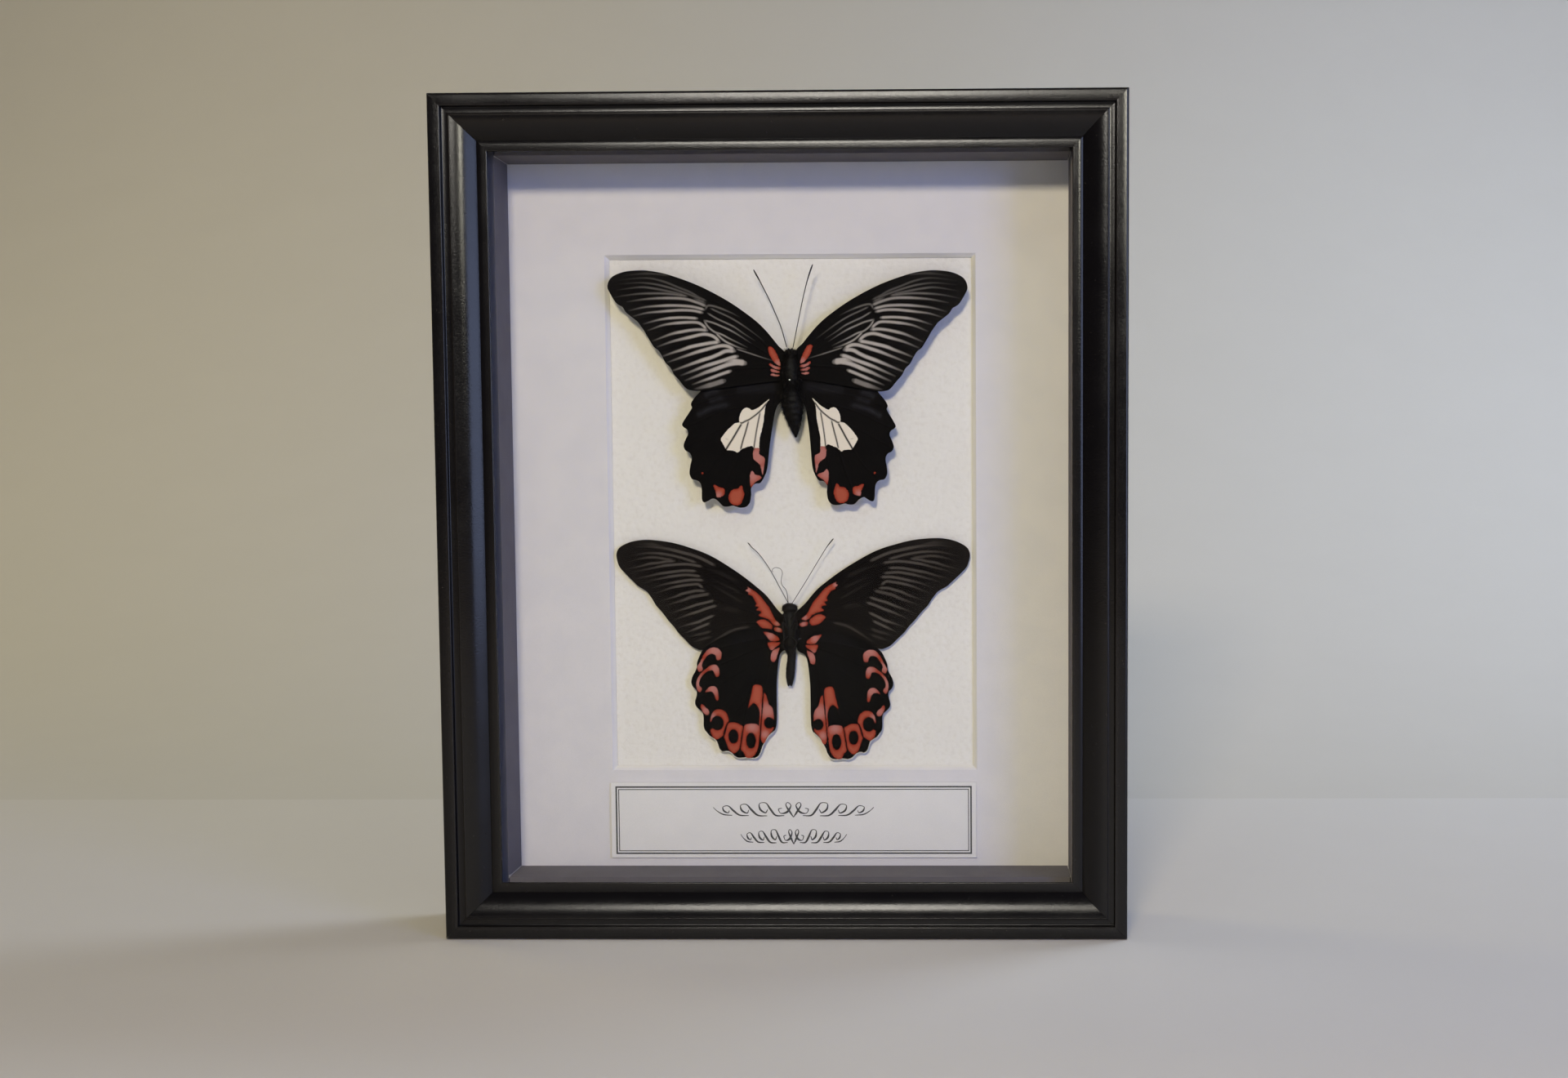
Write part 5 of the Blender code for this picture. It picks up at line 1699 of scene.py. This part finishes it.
@dataclass
class Body:
    """A body turned from rings of points, wider than it is deep, with ringed hind part."""

    name: str
    stations: Sequence[tuple[float, float, float, float]]
    flatness: float
    ring_from: float
    ring_pitch: float
    ring_height: float
    sides: int = 28

    def build(self) -> Piece:
        """The body without its finish: a circle drawn out ring by ring, from head to tail."""
        rows = smooth_line(np.array(self.stations, dtype=float), 6, closed=False)
        falling = rows[:, 1] < self.ring_from
        phase = np.modf(np.abs(rows[:, 1] - self.ring_from) / self.ring_pitch)[0]
        rows[:, 3] = np.maximum(rows[:, 3], 0.12)
        rows[falling, 3] *= 1.0 + self.ring_height * (np.abs(np.sin(phase[falling] * math.pi))
                                                      - 0.6)
        first = rows[0]
        bpy.ops.mesh.primitive_circle_add(vertices=self.sides, radius=first[3] * MM,
                                          fill_type="NGON",
                                          location=front(*first[:3]))
        body = Bench.named(self.name)
        Bench.settle(body)
        with Bench.editing(body):
            bpy.ops.mesh.select_all(action="SELECT")
            for before, after in zip(rows, rows[1:]):
                here = front(*after[:3])
                bpy.ops.mesh.extrude_region_move(
                    TRANSFORM_OT_translate={"value": here - front(*before[:3])})
                share = after[3] / before[3]
                bpy.ops.transform.resize(value=(share, share, 1.0), center_override=here)
            bpy.ops.mesh.select_mode(type="EDGE")
            bpy.ops.mesh.select_all(action="DESELECT")
            bpy.ops.mesh.select_non_manifold()
            bpy.ops.mesh.edge_face_add()
        places = Bench.points(body)
        order = np.argsort(-rows[:, 1])
        axis = np.interp(-places[:, 2], -(rows[order, 1] + FRAME_HEIGHT / 2) * MM,
                         (rows[order, 2] - FRAME_DEPTH / 2) * MM)
        places[:, 1] = axis + (places[:, 1] - axis) * self.flatness
        Bench.move_points(body, places)
        Bench.tidy(body, merge=0.001)
        Bench.smooth(body, 70.0)
        return body


@dataclass
class HairMaker:
    """Grows fine tapered hairs on a body or along a line."""

    generator: np.random.Generator = field(
        default_factory=lambda: np.random.default_rng(RANDOM_SEED))

    def mesh(self, name: str, roots: np.ndarray, lean: np.ndarray, length: np.ndarray,
             width: float) -> Piece:
        """One mesh of many bent three-sided hairs.

        Args:
            name: The piece's name.
            roots: Where each hair starts, in metres.
            lean: The direction that each hair takes.
            length: Length of each hair in millimetres.
            width: Thickness at the root in millimetres.

        Returns:
            The hairs, without their finish.
        """
        count = len(roots)
        lean = lean / np.linalg.norm(lean, axis=1)[:, None]
        side = np.cross(lean, self.generator.normal(size=(count, 3)))
        side /= np.linalg.norm(side, axis=1)[:, None]
        third = np.cross(lean, side)
        droop = side * self.generator.uniform(-0.35, 0.35, count)[:, None]
        along = lean * (length * MM)[:, None]
        rings = []
        for share, thick in ((0.0, 1.0), (0.55, 0.7)):
            middle = roots + along * share + droop * (length * MM)[:, None] * share ** 2
            for turn in (0.0, 2.0944, 4.1888):
                rings.append(middle + (side * math.cos(turn) + third * math.sin(turn))
                             * width * MM / 2 * thick)
        rings.append(roots + along + droop * (length * MM)[:, None])
        points = np.stack(rings, axis=1).reshape(-1, 3)
        pattern = [(0, 2, 1), (0, 1, 4, 3), (1, 2, 5, 4), (2, 0, 3, 5), (3, 4, 6), (4, 5, 6),
                   (5, 3, 6)]
        faces = [tuple(start + corner for corner in face)
                 for start in range(0, 7 * count, 7) for face in pattern]
        data = bpy.data.meshes.new(name)
        data.from_pydata(points.tolist(), [], faces)
        piece = bpy.data.objects.new(name, data)
        bpy.context.scene.collection.objects.link(piece)
        Bench.note(piece, "tip", np.tile([0.0, 0.0, 0.0, 0.55, 0.55, 0.55, 1.0], count))
        return piece

    def on_surface(self, name: str, body: Piece, count: int, low: float, high: float,
                   length: Pair, width: float, drift: Triple) -> Piece:
        """Hairs spread over a body between two heights.

        Args:
            name: The piece's name.
            body: What they grow on.
            count: How many.
            low: Lowest z in the frame.
            high: Highest z in the frame.
            length: Shortest and longest hair.
            width: Thickness at the root.
            drift: Direction added to the surface's own, which combs the hairs.

        Returns:
            The hairs.
        """
        faces = [face for face in body.data.polygons
                 if low < face.center.z / MM - FRAME_HEIGHT / 2 < high]
        areas = np.array([face.area for face in faces])
        chosen = self.generator.choice(len(faces), count, p=areas / areas.sum())
        corners = [[body.data.vertices[index].co for index in face.vertices] for face in faces]
        roots, lean = [], []
        for pick in chosen:
            ring = corners[pick]
            weights = self.generator.dirichlet([1.0] * len(ring))
            roots.append(sum((place * weight for place, weight in zip(ring, weights)),
                             Vector()))
            lean.append(faces[pick].normal)
        directions = (np.array(lean) + np.array(drift)
                      + self.generator.normal(scale=0.35, size=(count, 3)))
        return self.mesh(name, np.array(roots), directions,
                         self.generator.uniform(*length, count), width)


@dataclass
class Specimens:
    """The two butterflies' bodies, with what grows on them."""

    upper_stations: Sequence[tuple[float, float, float, float]] = (
        (1.1, 57.7, 25.2, 0.5), (1.1, 57.2, 25.2, 1.3), (1.1, 56.2, 25.2, 1.8),
        (1.1, 55.2, 25.2, 1.6), (1.1, 54.2, 25.1, 2.1), (1.1, 52.0, 25.0, 2.7),
        (1.1, 49.0, 25.0, 2.9), (1.1, 46.0, 25.2, 2.8), (1.1, 43.8, 25.8, 2.3),
        (1.2, 41.5, 26.3, 3.2), (1.3, 39.0, 26.8, 3.6), (1.5, 36.5, 27.0, 3.35),
        (1.7, 34.4, 27.1, 2.8), (2.0, 31.8, 27.3, 1.95), (2.2, 29.6, 27.5, 1.1),
        (2.4, 27.8, 27.6, 0.25))
    lower_stations: Sequence[tuple[float, float, float, float]] = (
        (-0.6, -29.1, 28.4, 1.0), (-0.5, -29.8, 28.4, 2.1), (-0.4, -31.0, 28.4, 2.5),
        (-0.5, -32.2, 28.5, 2.0), (-0.5, -34.0, 28.5, 2.2), (-0.3, -37.0, 28.5, 2.6),
        (-0.2, -40.5, 28.6, 2.6), (-0.2, -43.5, 28.9, 2.2), (-0.2, -45.0, 29.3, 1.7),
        (-0.1, -48.0, 29.6, 1.45), (-0.5, -52.0, 29.7, 1.55), (-0.7, -55.5, 29.7, 1.35),
        (-0.8, -57.3, 29.7, 0.8))
    feelers: tuple[tuple[str, tuple[tuple[float, float, float, float], ...]], ...] = (
        ("upper_antenna_left", (
            (-0.2, 58.4, 24.9, 0.16), (-2.0, 65.0, 24.7, 0.16), (-4.0, 70.0, 24.5, 0.17),
            (-6.2, 75.0, 24.4, 0.18), (-8.7, 80.0, 24.3, 0.20), (-9.6, 81.7, 24.3, 0.27),
            (-10.6, 83.5, 24.3, 0.28), (-11.1, 84.5, 24.3, 0.14))),
        ("upper_antenna_right", (
            (2.0, 58.4, 24.9, 0.16), (3.4, 65.0, 24.7, 0.16), (4.5, 70.0, 24.5, 0.17),
            (5.6, 75.0, 24.4, 0.18), (6.9, 80.0, 24.3, 0.20), (7.6, 82.3, 24.3, 0.27),
            (8.5, 84.9, 24.3, 0.28), (9.0, 86.2, 24.3, 0.14))),
        ("lower_antenna_left", (
            (-1.0, -28.9, 28.2, 0.15), (-4.0, -23.2, 28.1, 0.15), (-7.3, -17.1, 28.0, 0.16),
            (-10.7, -12.2, 27.9, 0.18), (-13.2, -9.8, 27.9, 0.20), (-14.2, -8.6, 27.9, 0.27),
            (-14.7, -8.1, 27.9, 0.14))),
        ("lower_antenna_right", (
            (0.3, -29.3, 28.2, 0.15), (5.2, -21.6, 28.1, 0.15), (9.3, -14.9, 28.0, 0.16),
            (12.2, -10.3, 27.9, 0.18), (13.6, -8.4, 27.9, 0.27), (14.6, -7.2, 27.9, 0.27),
            (14.9, -6.8, 27.9, 0.14))),
        ("lower_proboscis", (
            (-0.8, -29.2, 27.3, 0.14), (-1.2, -25.6, 27.3, 0.13), (-1.8, -24.1, 27.4, 0.13),
            (-2.9, -22.8, 27.4, 0.12), (-3.2, -21.5, 27.3, 0.12), (-3.0, -20.0, 27.1, 0.12),
            (-2.7, -18.7, 27.0, 0.12), (-3.0, -17.6, 26.9, 0.11), (-3.8, -16.9, 26.9, 0.11),
            (-5.2, -16.7, 26.9, 0.11), (-6.1, -17.3, 26.9, 0.11), (-6.2, -18.0, 26.9, 0.10),
            (-5.7, -18.1, 26.9, 0.09))),
    )
    legs: tuple[tuple[tuple[float, float, float, float], ...], ...] = (
        ((-0.9, -34.6, 26.4, 0.35), (-2.3, -32.7, 25.9, 0.36), (-1.3, -36.2, 25.4, 0.26)),
        ((-1.0, -37.6, 26.2, 0.38), (-2.7, -35.8, 25.8, 0.36), (-2.0, -40.6, 25.5, 0.26)),
        ((-0.9, -40.2, 26.3, 0.38), (-2.6, -42.6, 26.0, 0.34), (-1.2, -46.6, 26.9, 0.22)),
    )
    leg_axis: float = -0.35
    feeler_joint: float = 0.45
    upper_girth: float = 0.98
    lower_girth: float = 0.78

    def build_feelers(self) -> None:
        """Feelers and tongue: threads with fine joints and a club at the end."""
        shell = Cuticle("feeler_shell", (0.018, 0.015, 0.013), (0.048, 0.041, 0.035),
                        0.42).make()
        for name, stations in self.feelers:
            rows = smooth_line(np.array(stations), 12, closed=False)
            run = np.concatenate([[0.0], np.cumsum(np.linalg.norm(np.diff(rows[:, :3], axis=0),
                                                                 axis=1))])
            even = np.arange(0.0, run[-1], self.feeler_joint / 2)
            resampled = np.stack([np.interp(even, run, rows[:, axis]) for axis in range(4)], 1)
            resampled[:, 3] *= self.upper_girth if name.startswith("upper") else self.lower_girth
            if name != "lower_proboscis":
                resampled[1::2, 3] *= 0.84
            Bench.hand_over(thread(name + "_jointed", resampled.tolist(), 8), shell, "feeler",
                            name)

    def head_parts(self, middle: Triple, radius: float, spread: float) -> list[Piece]:
        """Two eyes for a head.

        Args:
            middle: Place between the eyes.
            radius: An eye's radius.
            spread: Distance of each eye from the middle.

        Returns:
            The eyes.
        """
        made = []
        for side in (-1.0, 1.0):
            bpy.ops.mesh.primitive_uv_sphere_add(
                segments=20, ring_count=12, radius=radius * MM,
                location=front(middle[0] + side * spread, middle[1], middle[2]))
            eye = Bench.named("eye")
            eye.scale = (0.72, 1.0, 1.05)
            Bench.settle(eye)
            Bench.smooth(eye, 180.0)
            made.append(eye)
        return made

    def build_upper(self, hair: HairMaker, shell: bpy.types.Material) -> None:
        """The upper body with its fur."""
        body = Body("upper_body_shell", self.upper_stations, 0.84, 43.5, 2.1, 0.09).build()
        palps = [thread("palp", [(1.1 + side * 0.4, 56.8, 23.9, 0.5),
                                 (1.1 + side * 0.5, 57.5, 23.9, 0.42),
                                 (1.1 + side * 0.5, 57.9, 24.0, 0.2)], 10, 4)
                 for side in (-1.0, 1.0)]
        whole = Bench.joined("upper_body_shell",
                             [body, *self.head_parts((1.1, 56.5, 24.9), 1.0, 1.35), *palps])
        Bench.hand_over(whole, shell, "body", "upper_body")
        dark = Hair("dark_hair", (0.004, 0.0035, 0.0035), (0.013, 0.011, 0.010)).make()
        grey = Hair("grey_hair", (0.02, 0.017, 0.016), (0.16, 0.14, 0.125)).make()
        parts = [hair.on_surface("fur", body, 3600, 43.5, 57.6, (0.7, 1.7), 0.055,
                                 (0.0, -0.1, -0.6)),
                 hair.on_surface("fur", body, 2400, 28.0, 43.5, (0.4, 1.0), 0.05,
                                 (0.0, 0.0, -0.9))]
        parts.append(hair.on_surface("fur", body, 700, 39.5, 47.5, (1.6, 3.2), 0.055,
                                     (0.0, 0.1, -1.1)))
        Bench.hand_over(Bench.joined("upper_fur", parts), dark, "body")
        pale = hair.on_surface("upper_pale_fur", body, 260, 38.0, 53.0, (1.2, 2.4), 0.045,
                               (0.0, -0.2, -0.8))
        Bench.hand_over(pale, grey, "body")

    def build_lower(self, hair: HairMaker, shell: bpy.types.Material) -> None:
        """The lower body, seen from below, with folded legs and fur."""
        body = Body("lower_body_shell", self.lower_stations, 0.95, -44.6, 1.6, 0.10).build()
        limbs = []
        for stations in self.legs:
            for mirrored in (False, True):
                row = [((2 * self.leg_axis - x) if mirrored else x, z, depth, radius)
                       for x, z, depth, radius in stations]
                limbs.append(thread("leg", row, 10, 8))
        for x in (-1.25, -0.35):
            limbs.append(thread("lobe", [(x, -56.0, 29.7, 0.62), (x, -57.4, 29.7, 0.48),
                                         (x, -58.1, 29.7, 0.15)], 12, 4))
        whole = Bench.joined("lower_body_shell",
                             [body, *limbs, *self.head_parts((-0.45, -30.9, 28.2), 1.25,
                                                             1.75)])
        Bench.hand_over(whole, shell, "body", "lower_body")
        dark = Hair("belly_hair", (0.004, 0.0035, 0.0035), (0.018, 0.015, 0.013)).make()
        parts = [hair.on_surface("fur", body, 2200, -44.6, -29.5, (0.4, 1.0), 0.05,
                                 (0.0, -0.1, -0.5)),
                 hair.on_surface("fur", body, 900, -57.3, -44.6, (0.2, 0.5), 0.045,
                                 (0.0, 0.0, -0.8))]
        for limb_height in (-36.0, -40.0):
            parts.append(hair.on_surface("fur", body, 120, limb_height - 4, limb_height + 3,
                                         (0.9, 1.6), 0.045, (0.0, -0.6, -0.4)))
        Bench.hand_over(Bench.joined("lower_fur", parts), dark, "body")

    def build(self) -> None:
        """Make wings, bodies, feelers and hair."""
        maker = WingMaker()
        for shape in (upper_forewing(), upper_hindwing(), lower_forewing(), lower_hindwing()):
            maker.build(shape)
        hair = HairMaker()
        shell = Cuticle("body_shell").make()
        self.build_upper(hair, shell)
        self.build_lower(hair, shell)
        self.build_feelers()


# ---------------------------------------------------------------------------------------------
# Studio
# ---------------------------------------------------------------------------------------------

class Use(Enum):
    """What a lamp does: light matt surfaces, or show as a highlight in glossy ones."""

    LIGHTS = 1
    MIRRORED = 2


@dataclass(frozen=True)
class Lamp:
    """A soft rectangular lamp, with its place and what it points at in metres."""

    name: str
    place: Triple
    size: Pair
    watts: float
    colour: Colour
    use: Use
    aim: Triple = (0.0, 0.0, 0.139)

    def light(self) -> None:
        """Hang the lamp."""
        data = bpy.data.lights.new(self.name, "AREA")
        data.shape = "RECTANGLE"
        data.size, data.size_y = self.size
        data.energy = self.watts
        data.color = self.colour
        lamp = bpy.data.objects.new(self.name, data)
        lamp.location = self.place
        ray = Vector(self.place) - Vector(self.aim)
        lamp.rotation_euler = ray.to_track_quat("Z", "Y").to_euler()
        lamp.visible_glossy = self.use is Use.MIRRORED
        lamp.visible_diffuse = self.use is Use.LIGHTS
        bpy.context.scene.collection.objects.link(lamp)


@dataclass
class Studio:
    """Floor, lamps and camera."""

    table_back: float = 0.2315
    cove_radius: float = 1.3
    lamps: tuple[Lamp, ...] = (
        Lamp("key", (-0.12, -1.45, 0.80), (0.25, 0.16), 14.3, (1.0, 0.83, 0.58), Use.LIGHTS),
        Lamp("key_glow", (-0.12, -1.45, 0.80), (0.36, 0.36), 18.0, (1.0, 0.95, 0.85),
             Use.MIRRORED),
        Lamp("panel", (0.42, -1.10, 0.56), (0.16, 0.26), 5.0, (1.0, 0.96, 0.80),
             Use.MIRRORED),
        Lamp("high_panel", (0.35, -1.60, 0.79), (1.30, 0.36), 2.0, (1.0, 0.94, 0.80),
             Use.MIRRORED),
        Lamp("window", (1.05, -0.75, 0.25), (0.95, 0.70), 10.0, (0.52, 0.63, 1.0),
             Use.MIRRORED),
        Lamp("sky", (1.02, -1.00, 0.44), (0.45, 0.50), 6.5, (0.25, 0.35, 1.0), Use.LIGHTS),
        Lamp("top_soft", (0.00, -0.70, 1.45), (1.20, 0.80), 2.9, (0.87, 1.0, 0.92),
             Use.LIGHTS),
        Lamp("wall_left", (-0.75, 0.35, 1.10), (0.60, 0.30), 4.2, (1.0, 0.85, 0.40),
             Use.LIGHTS, (-0.75, 1.2, 0.2)),
        Lamp("wall_right", (0.75, 0.35, 1.10), (0.60, 0.30), 10.6, (0.78, 0.87, 1.0),
             Use.LIGHTS, (0.85, 0.9, 0.0)),
    )
    ambient: Colour = (0.040, 0.042, 0.062)

    def floor(self) -> None:
        """A pale table and a pale cove behind it."""
        bpy.ops.mesh.primitive_grid_add(x_subdivisions=2, y_subdivisions=2, size=2.0)
        table = Bench.named("table_top")
        table.scale = (1.6, 0.85, 1.0)
        table.location = (0.0, self.table_back - 0.85, -0.0002)
        Bench.settle(table)
        with Bench.editing(table):
            bpy.ops.mesh.select_all(action="SELECT")
            bpy.ops.mesh.extrude_region_move(
                TRANSFORM_OT_translate={"value": (0.0, 0.0, -0.0012)})
        Bench.tidy(table)
        bpy.ops.mesh.primitive_plane_add(size=3.2, location=(0.0, self.table_back - 1.55,
                                                             -0.0022))
        cove = Bench.named("cove")
        cove.scale = (2.6, 1.0, 1.0)
        Bench.settle(cove)
        back = self.table_back + 0.05
        with Bench.editing(cove, Part.EDGES):
            Bench.pick(cove, Part.EDGES, lambda middle, _: middle.y > back - 0.02)
            turn = math.radians(3.75)
            for step in range(24):
                lift, angle = self.cove_radius * turn, turn * (step + 0.5)
                bpy.ops.mesh.extrude_edges_move(TRANSFORM_OT_translate={
                    "value": (0.0, lift * math.cos(angle), lift * math.sin(angle))})
        Bench.smooth(cove, 60.0)
        for piece, name, colour, other in (
                (table, "pale_table", (0.60, 0.585, 0.565), (0.62, 0.605, 0.585)),
                (cove, "pale_cove", (0.56, 0.545, 0.515), (0.58, 0.565, 0.535))):
            mix = Recipe(name, 0.6, Specular_IOR_Level=0.25)
            clouds = mix.noise(mix.place(), 60.0, 3.0, 0.6)
            fine = mix.noise(mix.place(), 0.6, 2.0, 0.5)
            piece.data.materials.append(
                mix.done(mix.blend(clouds, colour, other), None, mix.bump(fine, 0.01)))

    def camera(self) -> None:
        """The photograph's viewpoint."""
        data = bpy.data.cameras.new("camera")
        data.sensor_width = 36.0
        data.lens = 40.842
        data.shift_x, data.shift_y = -0.1049, 0.0289
        data.clip_start, data.clip_end = 0.01, 20.0
        data.dof.use_dof = False
        viewer = bpy.data.objects.new("camera", data)
        viewer.location = (0.065475, -0.601562, 0.157584)
        viewer.rotation_euler = tuple(math.radians(angle)
                                      for angle in (86.15092, 0.25077, 1.02809))
        bpy.context.scene.collection.objects.link(viewer)
        bpy.context.scene.camera = viewer

    def build(self) -> None:
        """Set up the studio."""
        self.camera()
        self.floor()
        for lamp in self.lamps:
            lamp.light()
        world = bpy.data.worlds.new("soft_room")
        world.use_nodes = True
        world.node_tree.nodes["Background"].inputs["Color"].default_value = (*self.ambient, 1.0)
        bpy.context.scene.world = world
        bpy.context.scene.view_settings.view_transform = "Standard"
        bpy.context.scene.view_settings.look = "None"


def main() -> None:
    """Build the looks in order."""
    logging.basicConfig(level=logging.INFO, format="%(name)s %(message)s")
    Bench.clear()
    Studio().build()
    Moulding().build()
    Papers().build()
    LabelPrint().build()
    CaseInside().build()
    Specimens().build()


if __name__ == "__main__":
    main()
